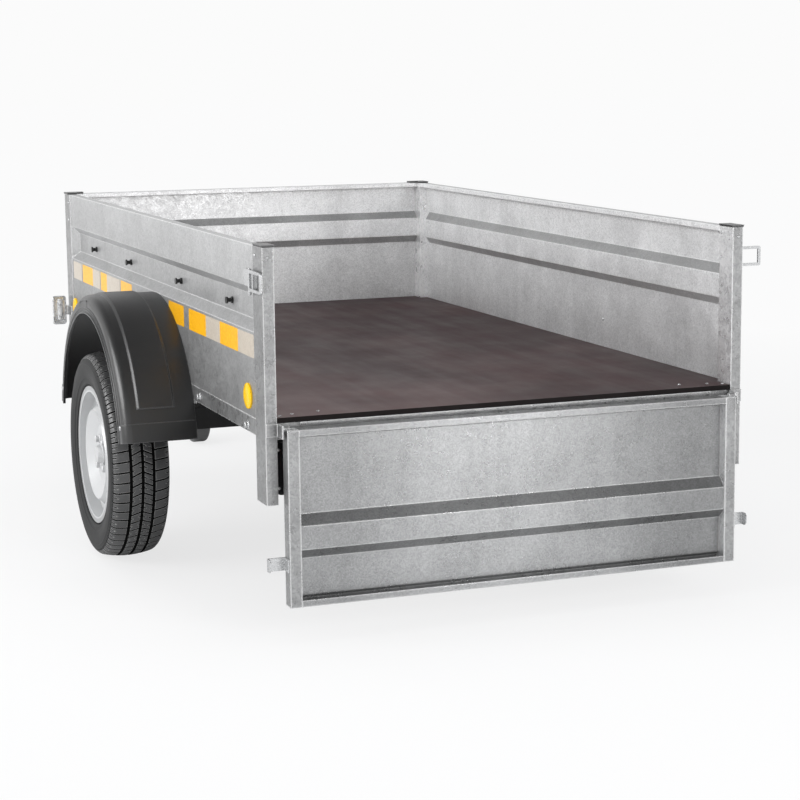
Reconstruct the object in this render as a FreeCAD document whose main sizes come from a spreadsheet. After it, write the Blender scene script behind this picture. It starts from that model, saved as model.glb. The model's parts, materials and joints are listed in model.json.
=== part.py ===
import FreeCAD, Part
import math
import os
import re
import Sketcher
from FreeCAD import Vector

# Utility trailer, single axle, with its tailgate hanging open.
# X runs forward to the coupling, Y to the left side, Z up, in millimetres.
# Sizes along X are given from the rear face of the rear posts; the last section moves
# the whole trailer so that its origin is on the ground in the middle of its length.

doc = FreeCAD.newDocument("utility_trailer")

# Driving sizes

SIZES = {
    # load box
    "boxWidth": 1200, "boxLength": 2100, "wallWidth": 25, "wallTop": 893,
    "railTop": 500, "railHeight": 38, "railFlange": 40, "railWall": 3,
    "sheet": 2, "hemDepth": 14, "floorThick": 12, "floorGap": 1.5,
    # pressed rib of the walls
    "ribDrop": 95, "ribTall": 102, "ribDepth": 22, "ribSlope": 45,
    # corner posts and their caps
    "postBox": 62, "postWhole": 74, "frontBox": 50, "postWall": 2.5, "stubBottom": 314,
    "capHigh": 5, "capBevel": 1.5, "capOver": 1.5, "capPlug": 10, "capReach": 25,
    # floor frame
    "crossDepth": 40, "crossSetback": 5, "sillHigh": 7, "sillShort": 80,
    "crossRearX": 430, "crossMidX": 930, "crossFrontX": 1500,
    # wheels
    "axleX": 977, "trackOver": 113.5, "tyreOuter": 273.5, "tyreWidth": 155, "tyreCrown": 7,
    "tyreShoulder": 20, "tyreWall": 9, "tyreBulgeR": 222, "tyreSideR": 252, "tyreSideIn": 5,
    "tyreBeadRise": 4, "beadR": 166, "rimEdge": 182, "rimWidth": 128, "rimSheet": 4,
    "dropHalf": 26, "dropSlope": 10, "dropR": 146, "discFace": 30, "discRoot": 18,
    "discCrown": 58, "discCrownR": 118, "discFlat": 36, "discFlatR": 82,
    "ventGroups": 4, "ventR": 134, "ventLong": 16, "ventWide": 8, "ventStep": 9, "ventMiddle": 48,
    "hubR": 46, "hubBoreR": 30, "hubFlange": 9, "hubFlangeR": 66, "hubBack": -38,
    "hubFront": 44, "capR": 28, "capTipR": 22, "capOut": 14, "spindleR": 17,
    # torsion axle
    "torsionAhead": 138, "torsionZ": 331, "torsionTube": 62, "torsionWall": 5,
    "torsionOver": 3, "armWide": 26, "armR": 32, "armBush": 30, "mountWide": 60,
    "mountPlate": 5,
    # mudguards
    "guardBehind": 9, "guardZ": 311, "guardR": 386, "guardSpan": 163, "guardCover": 13,
    "guardSheet": 3, "guardShoulder": 22, "guardSkirt": 48, "guardLipOut": 4,
    "guardRaise": 5, "guardRaiseIn": 56, "guardRaiseOut": 22, "guardRaiseSpan": 138,
    "guardBand": 1.5, "guardBandSpan": 7,
    # drawbar, straps and coupling
    "barWide": 60, "barHigh": 60, "barWall": 4, "barTail": 30, "barReach": 805,
    "strapSheet": 5, "strapFoot": 32,
    "ballAhead": 107, "ballR": 25, "headR": 36, "headSheet": 4, "headSleeve": 110,
    "headLow": 14, "headNeck": 12, "leverBack": 70, "leverFoot": 24, "leverRise": 26,
    "leverThick": 6, "leverLong": 92, "leverWide": 22,
    # jack
    "jackAhead": 420, "jackY": 92, "jackTubeR": 24, "jackTubeWall": 3, "jackTubeLow": 385,
    "jackTubeTop": 740, "jackInnerLow": 235, "jackInnerTop": 590, "jackWheelR": 100,
    "jackWheelWide": 50, "jackTrail": 38, "jackTyreEdge": 9, "jackRimR": 72, "jackWeb": 8,
    "jackBoss": 10, "clampLong": 60, "clampSheet": 6, "crankR": 7, "crankRise": 34,
    "crankLong": 110, "gripR": 13, "gripLong": 80, "gripDrop": 14, "forkSheet": 5,
    "forkGap": 6, "forkCrown": 8, "forkWide": 44, "forkBack": 19, "forkEye": 16, "forkPinR": 8,
    # tailgate
    "gateClear": 10, "gateDeep": 36, "gateOver": 2, "gateChannel": 27, "gateLip": 15,
    "gateEdge": 13, "gateStep": 8, "gateRibDrop": 107, "gateRibTall": 102,
    "gateRibDepth": 24, "gateLean": -0.178,
    "hingeX": -25, "hingeZ": 491, "hingeDeep": 16, "hingeRise": 1.5, "hingePinR": 6,
    "hingePinIn": 8, "hingePlate": 4, "hingePlateLow": 470, "hingePlateHigh": 500,
    "hingeEar": 13,
    "hookDrop": 111, "hookTall": 30, "hookOver": 8, "hookSheet": 3, "hookLip": 22,
    "hookBevel": 7,
    # cover pegs and reflectors, from the box's nearer end
    "pegRearX": 319, "pegMidX": 784, "pegForeBack": 772, "pegFrontBack": 332, "pegRise": 48,
    "pegR": 8, "pegNeckR": 5, "pegOut": 17, "pegFoot": 4, "pegBevel": 1.5,
    "reflectorR": 30, "reflectorOut": 7, "reflectorRim": 3, "reflectorZ": 545,
    "reflectorRearX": 131, "reflectorFrontBack": 105,
    # marker lamps
    "lampWide": 43, "lampHigh": 90, "lampDeep": 14, "lampLow": 482, "lampGap": 10,
    "lampCorner": 10, "markerSheet": 2.5, "markerStem": 30, "markerRim": 3,
    # latches: a hinge plate on the post and a frame that drops behind the tailgate's hook
    "latchDrop": 79, "latchPinX": 75, "latchPinOut": 7, "latchPinR": 4, "latchPinDown": 33,
    "latchPinUp": 27, "latchPlateX": 40, "latchPlateLong": 95, "latchPlateDown": 17,
    "latchPlateUp": 22, "latchSheet": 2, "latchReach": 86, "latchHalf": 24, "latchBar": 7,
    "latchThick": 5, "latchSpine": 32, "latchCorner": 5, "latchOpen": 90,
    # tail lamps
    "tailLampX": 14, "tailLampLow": 332, "tailLampHigh": 452, "tailLampWide": 190,
    "tailLampDeep": 45, "tailLampCorner": 14, "tailLensOut": 6, "bracketSheet": 3,
    "bracketDrop": 120, "bracketWide": 95,
    # running clearance between pieces that seat in each other
    "seat": 0.3,
}

sheet = doc.addObject("Spreadsheet::Sheet", "Sizes")
for row, (alias, number) in enumerate(SIZES.items(), start=1):
    sheet.set(f"A{row}", str(number))
    sheet.setAlias(f"A{row}", alias)
doc.recompute()

# Helpers

FUNCTIONS = ("sin", "cos", "tan", "sqrt", "atan", "abs")
START, END = range(1, 3)    # the sketcher's numbers for an edge's two ends
X_AXIS, Y_AXIS = range(-1, -3, -1)  # and for a sketch's own axes
NEARLY = 1e-9
PARTS = []


def size(formula):
    """A formula in the sheet's names, as an expression of the document."""
    swap = lambda found: found.group() if found.group() in FUNCTIONS else "Sizes." + found.group()
    return re.sub(r"[A-Za-z]\w*", swap, str(formula))


def value(formula):
    """The number that a formula gives at the present sizes."""
    result = sheet.evalExpression(size(formula))
    return float(getattr(result, "Value", result))


def bind(thing, **formulas):
    """Tie properties to formulas; a double underscore in a name stands for a dot."""
    for name, formula in formulas.items():
        thing.setExpression(name.replace("__", "."), size(formula))


def minus(formula):
    return f"(0 - ({formula}))"


def originPlane(body, role):
    return next(f for f in body.Origin.OriginFeatures if f.Role == role)


def fixPoint(sketch, edge, end, x, y):
    """Hold one end of an edge at a pair of formulas."""
    for kind, axis, formula in (("DistanceX", Y_AXIS, x), ("DistanceY", X_AXIS, y)):
        number = value(formula)
        if abs(number) < NEARLY:
            sketch.addConstraint(Sketcher.Constraint("PointOnObject", edge, end, axis))
            continue
        index = sketch.addConstraint(Sketcher.Constraint(kind, edge, end, number))
        sketch.setExpression(f"Constraints[{index}]", size(formula))


def arcBetween(start, end, radius):
    """The short arc from start to end; a positive radius turns anticlockwise."""
    chord = end - start
    middle = (start + end) * 0.5
    across = Vector(-chord.y, chord.x, 0).normalize()
    rise = math.sqrt(max(radius * radius - chord.Length ** 2 / 4, 0))
    side = 1 if radius > 0 else -1
    centre = middle + across * rise * side
    outward = (middle - centre)
    if outward.Length < NEARLY:
        outward = across * -side
    top = centre + outward.normalize() * abs(radius)
    return Part.Arc(start, top, end)


def loop(sketch, points):
    """One closed outline. A point (x, y, r) starts an arc of radius r to the next one."""
    first = sketch.GeometryCount
    count = len(points)
    spots = [Vector(value(p[0]), value(p[1]), 0) for p in points]
    starts = []
    for i, point in enumerate(points):
        here, there = spots[i], spots[(i + 1) % count]
        if len(point) == 3:
            arc = arcBetween(here, there, value(point[2]))
            sketch.addGeometry(arc)
            starts.append(START if value(point[2]) > 0 else END)
        else:
            sketch.addGeometry(Part.LineSegment(here, there))
            starts.append(START)
    for i, point in enumerate(points):
        nxt = (i + 1) % count
        ending = END if starts[i] == START else START
        sketch.addConstraint(
            Sketcher.Constraint("Coincident", first + i, ending, first + nxt, starts[nxt]))
    for i, point in enumerate(points):
        fixPoint(sketch, first + i, starts[i], point[0], point[1])
        if len(point) == 3:
            radius = abs(value(point[2]))
            index = sketch.addConstraint(Sketcher.Constraint("Radius", first + i, radius))
            sketch.setExpression(f"Constraints[{index}]", size(f"abs({point[2]})"))


def sketchOn(body, name, role, at="0"):
    """A sketch parallel to an origin plane, at a distance along that plane's normal."""
    sketch = body.newObject("Sketcher::SketchObject", name)
    sketch.AttachmentSupport = [(originPlane(body, role), "")]
    sketch.MapMode = "FlatFace"
    sketch.setExpression("AttachmentOffset.Base.z", size(at))
    return sketch


def newBody(name):
    body = doc.addObject("PartDesign::Body", name)
    body.Label = name
    return body


def pad(body, name, role, outlines, at, length):
    """Pad outlines along the plane's normal (+X for YZ, +Z for XY, -Y for XZ)."""
    sketch = sketchOn(body, name + "_sketch", role, at)
    for points in outlines:
        loop(sketch, points)
    feature = body.newObject("PartDesign::Pad", name)
    feature.Profile = sketch
    bind(feature, Length=length)
    sketch.Visibility = False
    return feature


def pocket(body, name, role, outlines, at, depth, slope="0"):
    """Cut outlines into the solid along the plane's normal; the volume must go down."""
    doc.recompute()
    before = body.Shape.Volume
    sketch = sketchOn(body, name + "_sketch", role, at)
    for points in outlines:
        loop(sketch, points)
    feature = body.newObject("PartDesign::Pocket", name)
    feature.Profile = sketch
    feature.Reversed = True
    bind(feature, Length=depth, TaperAngle=minus(slope))
    doc.recompute()
    if not body.Shape.Volume < before - 1:
        raise RuntimeError(f"{name} cuts nothing")
    return feature


def turn(body, name, outlines, angle="360", symmetric=False, role="YZ_Plane", at="0"):
    """Revolve outlines of (along, radius) about the sketch's first axis."""
    sketch = sketchOn(body, name + "_sketch", role, at)
    for points in outlines:
        loop(sketch, points)
    feature = body.newObject("PartDesign::Revolution", name)
    feature.Profile = sketch
    feature.ReferenceAxis = (sketch, ["H_Axis"])
    feature.Midplane = symmetric
    bind(feature, Angle=angle)
    return feature


def polar(body, feature, count):
    """Repeat a feature round its own sketch's normal."""
    pattern = body.newObject("PartDesign::PolarPattern", feature.Name + "_ring")
    pattern.Originals = [feature]
    pattern.Axis = (feature.Profile[0], ["N_Axis"])
    pattern.Angle = 360
    pattern.Occurrences = count
    body.Tip = pattern
    return pattern


def swing(thing, degrees, axis):
    """Turn a piece about an axis through its own origin."""
    thing.Placement.Rotation = FreeCAD.Rotation(axis, 1)
    thing.setExpression("Placement.Rotation.Angle", size(degrees))


def box(name, x, y, z, long, wide, high):
    """A block from its lowest corner and its three sizes."""
    block = doc.addObject("Part::Box", name)
    block.Label = name
    bind(block, Length=long, Width=wide, Height=high, Placement__Base__x=x,
         Placement__Base__y=y, Placement__Base__z=z)
    return block


def rod(name, x, y, z, radius, length, axis=Vector(0, 0, 1)):
    """A round bar that starts at a point and runs along an axis."""
    bar = doc.addObject("Part::Cylinder", name)
    bar.Label = name
    bar.Placement.Rotation = FreeCAD.Rotation(Vector(0, 0, 1), axis)
    bind(bar, Radius=radius, Height=length, Placement__Base__x=x,
         Placement__Base__y=y, Placement__Base__z=z)
    return bar


def ballAt(name, radius, x, y, z):
    ball = doc.addObject("Part::Sphere", name)
    bind(ball, Radius=radius, Placement__Base__x=x, Placement__Base__y=y, Placement__Base__z=z)
    return ball


def cut(name, base, tool):
    result = doc.addObject("Part::Cut", name)
    result.Label = name
    result.Base = base
    result.Tool = tool
    return result


def fuse(name, pieces):
    result = doc.addObject("Part::MultiFuse", name)
    result.Label = name
    result.Shapes = pieces
    result.Refine = True
    return result


def group(name, pieces):
    result = doc.addObject("Part::Compound", name)
    result.Label = name
    result.Links = pieces
    return result


def mirrored(name, source):
    """The right-hand twin of a left-hand piece."""
    twin = doc.addObject("Part::Mirroring", name)
    twin.Label = name
    twin.Source = source
    twin.Base = Vector(0, 0, 0)
    twin.Normal = Vector(0, 1, 0)
    return twin


def part(thing, x="0", y=None, z=None):
    """Hand a finished sub-part in; x is where its own zero lies along the trailer."""
    thing.setExpression("Placement.Base.x", size(f"{x} - ({MID})"))
    if y is not None:
        thing.setExpression("Placement.Base.y", size(y))
    if z is not None:
        thing.setExpression("Placement.Base.z", size(z))
    PARTS.append(thing)
    return thing


def partPair(left, x="0", y=None, z=None):
    """Hand a left-hand piece in with its right-hand twin."""
    part(left, x, y, z)
    twin = mirrored(left.Label.replace("left", "right"), left)
    PARTS.append(twin)
    return twin


HALF = "boxWidth / 2"
OUTER = "(boxWidth / 2 + sheet)"    # outer face of the posts, which lap the side panels
RAIL_LOW = "(railTop - railHeight)"
WALL_START, WALL_END = "postBox", "(boxLength - frontBox)"
RIB_HIGH = "(wallTop - ribDrop)"
RIB_LOW = "(wallTop - ribDrop - ribTall)"
FOLD = "sheet * tan(ribSlope / 2)"  # how far a rib's corner moves from one face to the other
TRACK = "(boxWidth / 2 + trackOver)"     # from the middle to each wheel's middle
TORSION_REACH = "(boxWidth / 2 + torsionOver)"
GATE_HALF = "(boxWidth / 2 - wallWidth - gateClear)"
GATE_HIGH = "(wallTop - hingeZ + gateOver)"
LATCH_Z = "(wallTop - latchDrop)"
GATE_BACK = "(hingeX - (gateDeep - hingeDeep) * cos(gateLean) + hingeRise * sin(gateLean))"
BAR_FRONT = "(boxLength + barReach)"
BALL_X = "(boxLength + barReach + ballAhead)"
BAR_MIDDLE = "(railTop - railHeight - barHigh / 2)"
JACK_X = "(boxLength + jackAhead)"
TORSION_X = "(axleX + torsionAhead)"
MID = f"({BALL_X} + headR + {GATE_BACK}) / 2"

# Floor frame: folded channel rails, cross members and the phenolic board


def sideRails():
    body = newBody("side_rail_left")
    inner, web = f"{HALF} - railFlange", f"{HALF} - railWall"
    low, top = f"{RAIL_LOW} + railWall", "railTop - railWall"
    outline = [(inner, RAIL_LOW), (HALF, RAIL_LOW), (HALF, "railTop"), (inner, "railTop"),
               (inner, top), (web, top), (web, low), (inner, low)]
    pad(body, "side_rail_pad", "YZ_Plane", [outline], WALL_START, f"{WALL_END} - {WALL_START}")
    partPair(body)


def crossChannel(name, web, far, half):
    """A channel across the frame; its web stands at web and its flanges run to far."""
    toFront = value(far) > value(web)
    inside = f"{web} + railWall" if toFront else f"{web} - railWall"
    low, top = f"{RAIL_LOW} + railWall", "railTop - railWall"
    ends = [(web, RAIL_LOW), (far, RAIL_LOW), (far, low), (inside, low),
            (inside, top), (far, top), (far, "railTop"), (web, "railTop")]
    body = newBody(name)
    pad(body, name + "_pad", "XZ_Plane", [ends], minus(half), f"2 * {half}")
    return body


def crossMembers():
    between = f"({HALF} - wallWidth)"
    web = "crossSetback"
    rear = crossChannel("rear_channel", web, f"{web} + crossDepth", between)
    reach = f"({HALF} - sillShort)"
    sill = box("rear_sill", "0", minus(reach), "railTop - sillHigh", "crossSetback",
               f"2 * {reach}", "sillHigh")
    part(fuse("cross_member_rear", [rear, sill]))
    part(crossChannel("cross_member_front", "boxLength", "boxLength - crossDepth", between))
    places = ("crossRearX", "crossMidX", "crossFrontX")
    middle = [crossChannel(f"middle_channel_{n}", x, f"{x} + crossDepth", f"({HALF} - railFlange)")
              for n, x in enumerate(places, start=1)]
    part(group("cross_members_middle", middle))


def floorBoard():
    narrow, wide = f"({HALF} - wallWidth - floorGap)", f"({HALF} - sheet - floorGap)"
    back, front = f"{WALL_START} + floorGap", f"{WALL_END} - floorGap"
    end = "boxLength - sheet - floorGap"
    half = [("0", narrow), (back, narrow), (back, wide), (front, wide), (front, narrow),
            (end, narrow)]
    other = [(x, minus(y)) for x, y in reversed(half)]
    body = newBody("floor_board")
    pad(body, "floor_board_pad", "XY_Plane", [half[::-1] + other[::-1]], "railTop", "floorThick")
    part(body)


# Walls: folded sheet with a top hem and one pressed rib that stands inwards


def ribFold(face, toward, low, high, depth, inset):
    """A rib's four corners on one face of a sheet's section, from the bottom up."""
    run = f"{depth} / tan(ribSlope)"
    top = f"{face} {toward} {depth}"
    return [(face, f"{low} + {inset}"), (top, f"{low} + {run} + {inset}"),
            (top, f"{high} - {run} - {inset}"), (face, f"{high} - {inset}")]


def wallSection(out, toward):
    """A wall's section without its rib, up its outer face, round the hem and down the inner."""
    hem, skin = f"{out} {toward} wallWidth", f"{out} {toward} sheet"
    lip = f"{out} {toward} (wallWidth - sheet)"
    return [(out, "railTop"), (out, "wallTop"), (hem, "wallTop"), (hem, "wallTop - hemDepth"),
            (lip, "wallTop - hemDepth"), (lip, "wallTop - sheet"), (skin, "wallTop - sheet"),
            (skin, "railTop")]


def sidePanels():
    body = newBody("side_panel_left")
    pad(body, "side_panel_pad", "YZ_Plane", [wallSection(HALF, "-")], WALL_START,
        f"{WALL_END} - {WALL_START}")

    # The rib slopes down at the front and runs straight into the rear post,
    # so its pressing starts behind the sheet and is trimmed there.
    behind, front = f"({WALL_START} - 2 * ribDepth)", "(boxLength - postWhole)"
    skin = f"{HALF} - sheet"

    def foot(inset):
        left, right = f"{behind} + {inset}", f"{front} - {inset}"
        low, high = f"{RIB_LOW} + {inset}", f"{RIB_HIGH} - {inset}"
        return [(left, low), (right, low), (right, high), (left, high)]

    raised = pad(body, "side_rib_raised", "XZ_Plane", [foot("0")], minus(skin), "ribDepth")
    bind(raised, TaperAngle=minus("ribSlope"))
    pocket(body, "side_rib_hollow", "XZ_Plane", [foot(FOLD)], minus(HALF), "ribDepth", "ribSlope")
    trim = [(behind, "railTop"), (WALL_START, "railTop"), (WALL_START, "wallTop"),
            (behind, "wallTop")]
    pocket(body, "side_rib_trim", "XZ_Plane", [trim], minus(HALF), "2 * ribDepth")
    partPair(body)


def frontPanel():
    body = newBody("front_panel")
    reach = f"({HALF} - wallWidth)"
    section = wallSection("boxLength", "-")
    outerRib = ribFold("boxLength", "-", RIB_LOW, RIB_HIGH, "ribDepth", FOLD)
    innerRib = ribFold("boxLength - sheet", "-", RIB_LOW, RIB_HIGH, "ribDepth", "0")
    outline = section[:1] + outerRib + section[1:-1] + innerRib[::-1] + section[-1:]
    pad(body, "front_panel_pad", "XZ_Plane", [outline], minus(reach), f"2 * {reach}")
    part(body)


# Corner posts: a folded box with a flange that laps the side panel


def cornerPost(name, end, step, deep, low):
    body = newBody(name)
    far, lap, inY = f"{end} {step} {deep}", f"{end} {step} postWhole", f"{HALF} - wallWidth"
    outline = [(end, inY), (far, inY), (far, HALF), (lap, HALF), (lap, OUTER), (end, OUTER)]
    wallA, wallB = f"{end} {step} postWall", f"{end} {step} ({deep} - postWall)"
    hole = [(wallA, f"{inY} + postWall"), (wallB, f"{inY} + postWall"),
            (wallB, f"{OUTER} - postWall"), (wallA, f"{OUTER} - postWall")]
    pad(body, name + "_pad", "XY_Plane", [outline, hole], low, f"wallTop - {low}")
    partPair(body)


def postCap(name, end, step, deep, along):
    """A bevelled plastic cap with a plug in the post; along is its reach past the wall's hem."""
    body = newBody(name)
    back = "-" if step == "+" else "+"
    near, far = f"{end} {back} capOver", f"{end} {step} ({deep} + capOver)"
    inner, out = f"{HALF} - wallWidth - capOver", f"{OUTER} + capOver"
    outline = [(far, inner), (far, out), (near, out), (near, inner)]
    if along:
        leg = f"{end} {step} (wallWidth + capOver)"
        outline[-1:] = [(near, f"{inner} - {along}"), (leg, f"{inner} - {along}"), (leg, inner)]
    pad(body, name + "_edge", "XY_Plane", [outline], "wallTop", "capHigh - capBevel")
    bevel = pad(body, name + "_bevel", "XY_Plane", [outline], "wallTop + capHigh - capBevel",
                "capBevel")
    bind(bevel, TaperAngle="ribSlope")
    wall = "(postWall + seat)"
    plugNear, plugFar = f"{end} {step} {wall}", f"{end} {step} ({deep} - {wall})"
    low, high = f"{HALF} - wallWidth + {wall}", f"{OUTER} - {wall}"
    plug = [(plugNear, low), (plugFar, low), (plugFar, high), (plugNear, high)]
    pad(body, name + "_plug", "XY_Plane", [plug], "wallTop - capPlug", "capPlug")
    return body


def posts():
    cornerPost("post_rear_left", "0", "+", "postBox", "stubBottom")
    cornerPost("post_front_left", "boxLength", "-", "frontBox", RAIL_LOW)
    caps = [postCap("cap_rear_left", "0", "+", "postBox", ""),
            postCap("cap_front_left", "boxLength", "-", "frontBox", "capReach")]
    caps += [mirrored(cap.Label.replace("left", "right"), cap) for cap in caps]
    part(group("post_caps", caps))


# Wheels: tyre, pressed rim and hub turn together about the stub axle


def handed(outline, hand):
    """An outline of (along, radius) for the left side, or turned over for the right."""
    return outline if hand > 0 else [(minus(y), r) for y, r in reversed(outline)]


def wheel(side, hand):
    spot = ("axleX", TRACK if hand > 0 else minus(TRACK), "tyreOuter")

    tyre = newBody(f"tyre_{side}")
    half = "tyreWidth / 2"
    crown = "(tyreOuter - tyreCrown)"
    chord = f"({half} - tyreShoulder)"
    treadArc = f"({chord} * {chord} + tyreCrown * tyreCrown) / (2 * tyreCrown)"
    bead, rimSeat = "(rimWidth / 2 - rimSheet - seat)", "beadR + rimSheet + seat"
    toe = "rimEdge + tyreBeadRise"
    outline = [(minus(bead), rimSeat), (minus(bead), toe), (minus(half), "tyreBulgeR"),
               (minus(f"{half} - tyreSideIn"), "tyreSideR", minus("tyreShoulder")),
               (minus(chord), crown, f"0 - {treadArc}"),
               (chord, crown, minus("tyreShoulder")), (f"{half} - tyreSideIn", "tyreSideR"),
               (half, "tyreBulgeR"), (bead, toe), (bead, rimSeat),
               (f"{bead} - tyreWall", rimSeat), (f"{bead} - tyreWall", toe),
               (f"{half} - tyreWall", "tyreBulgeR"), (f"{chord} - tyreWall", f"{crown} - tyreWall"),
               (minus(f"{chord} - tyreWall"), f"{crown} - tyreWall"),
               (minus(f"{half} - tyreWall"), "tyreBulgeR"), (minus(f"{bead} - tyreWall"), toe),
               (minus(f"{bead} - tyreWall"), rimSeat)]
    turn(tyre, f"tyre_{side}_turn", [outline])
    part(tyre, *spot)

    rim = newBody(f"rim_{side}")
    edge, slope = "rimWidth / 2", "dropHalf + dropSlope"
    barrel = [(minus(f"{edge} + rimSheet"), "rimEdge"), (minus(edge), "rimEdge"),
              (minus(edge), "beadR + rimSheet"), (minus(slope), "beadR + rimSheet"),
              (minus("dropHalf"), "dropR + rimSheet"), ("dropHalf", "dropR + rimSheet"),
              (slope, "beadR + rimSheet"), (edge, "beadR + rimSheet"), (edge, "rimEdge"),
              (f"{edge} + rimSheet", "rimEdge"), (f"{edge} + rimSheet", "beadR"),
              (slope, "beadR"), ("dropHalf", "dropR")]
    disc = [("discFace", "dropR"), ("discCrown + rimSheet", "discCrownR"),
            ("discFlat + rimSheet", "discFlatR"), ("discFlat + rimSheet", "hubBoreR"),
            ("discFlat", "hubBoreR"), ("discFlat", "discFlatR - rimSheet"),
            ("discCrown", "discCrownR - rimSheet"), ("discFace - rimSheet", "dropR - rimSheet"),
            ("discRoot", "dropR"), (minus("dropHalf"), "dropR"), (minus(slope), "beadR"),
            (minus(f"{edge} + rimSheet"), "beadR")]
    turn(rim, f"rim_{side}_turn", [handed(barrel + disc, hand)])
    plane = minus("discCrown") if hand > 0 else "discRoot"
    for number, turned in enumerate(("(ventMiddle - ventStep)", "ventMiddle",
                                     "(ventMiddle + ventStep)"), start=1):
        vent = pocket(rim, f"rim_{side}_vent_{number}", "XZ_Plane", [ventOutline(turned)],
                      plane, "discCrown - discRoot")
        polar(rim, vent, round(value("ventGroups")))
    part(rim, *spot)

    hub = newBody(f"hub_{side}")
    back = "discFlat - seat"
    shape = [("hubBack", "spindleR + seat"), ("hubBack", "hubR"), (f"{back} - hubFlange", "hubR"),
             (f"{back} - hubFlange", "hubFlangeR"), (back, "hubFlangeR"),
             (back, "hubBoreR - seat"), ("hubFront", "capR"), ("hubFront + capOut", "capTipR"),
             ("hubFront + capOut", "0"), ("hubFront", "0"), ("hubFront", "spindleR + seat")]
    turn(hub, f"hub_{side}_turn", [handed(shape, hand)])
    part(hub, *spot)


def ventOutline(turned):
    """One vent slot of the rim: a small rectangle that faces the wheel's centre."""
    corners = []
    for radial, across in (("-", "-"), ("+", "-"), ("+", "+"), ("-", "+")):
        r, along = f"(ventR {radial} ventWide / 2)", f"(0 {across} ventLong / 2)"
        corners.append((f"{r} * cos({turned}) - {along} * sin({turned})",
                        f"{r} * sin({turned}) + {along} * cos({turned})"))
    return corners


# Torsion axle: a square tube with a trailing arm and a stub at each end


def armOutline(radius):
    dx, dz = "torsionAhead", "(torsionZ - tyreOuter)"
    long = f"sqrt({dx} * {dx} + {dz} * {dz})"
    alongX, alongZ = f"({radius} * {dx} / {long})", f"({radius} * {dz} / {long})"
    back, front = ("axleX", "tyreOuter"), (TORSION_X, "torsionZ")

    def off(point, ax, az, *arc):
        return (f"{point[0]} {ax}", f"{point[1]} {az}", *arc)

    return [off(back, f"+ {alongZ}", f"- {alongX}"),
            off(front, f"+ {alongZ}", f"- {alongX}", radius),
            off(front, f"+ {alongX}", f"+ {alongZ}", radius),
            off(front, f"- {alongZ}", f"+ {alongX}"),
            off(back, f"- {alongZ}", f"+ {alongX}", radius),
            off(back, f"- {alongX}", f"- {alongZ}", radius)]


def square(x, z, half):
    """A square outline round a centre."""
    return [(f"{x} - {half}", f"{z} - {half}"), (f"{x} + {half}", f"{z} - {half}"),
            (f"{x} + {half}", f"{z} + {half}"), (f"{x} - {half}", f"{z} + {half}")]


def axle():
    tube = newBody("axle_beam")
    half = "torsionTube / 2"
    pad(tube, "axle_beam_pad", "XZ_Plane",
        [square(TORSION_X, "torsionZ", half), square(TORSION_X, "torsionZ", f"({half} - torsionWall)")],
        minus(TORSION_REACH), f"2 * {TORSION_REACH}")
    part(tube)

    arm = newBody("swing_arm_plate")
    pad(arm, "swing_arm_pad", "XZ_Plane", [armOutline("armR")], minus(f"{TORSION_REACH} + armWide"),
        "armWide")
    spindle = rod("stub_spindle", "axleX", TORSION_REACH, "tyreOuter", "spindleR",
                  f"{TRACK} + hubFront - seat - {TORSION_REACH}", Vector(0, 1, 0))
    bush = rod("arm_bush", TORSION_X, f"{TORSION_REACH} - armBush", "torsionZ",
               f"{half} - torsionWall - seat", "armBush + seat", Vector(0, 1, 0))
    partPair(fuse("swing_arm_left", [arm, spindle, bush]))

    plate = newBody("mount_plate_left")
    low = f"torsionZ + {half}"
    web = [(f"{TORSION_X} - {half}", low), (f"{TORSION_X} + {half}", low),
           (f"{TORSION_X} + mountWide", RAIL_LOW), (f"{TORSION_X} - mountWide", RAIL_LOW)]
    pad(plate, "mount_plate_pad", "XZ_Plane", [web], minus(f"{HALF} - mountPlate"), "mountPlate")
    foot = box("mount_foot_left", f"{TORSION_X} - mountWide", f"{HALF} - railFlange",
               f"{RAIL_LOW} - mountPlate", "2 * mountWide", "railFlange", "mountPlate")
    mount = fuse("axle_mount_left", [plate, foot])
    part(group("axle_mounts", [mount, mirrored("axle_mount_right", mount)]))


# Mudguards: one moulded shell over each wheel, with a raised panel and a band at each end


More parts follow.
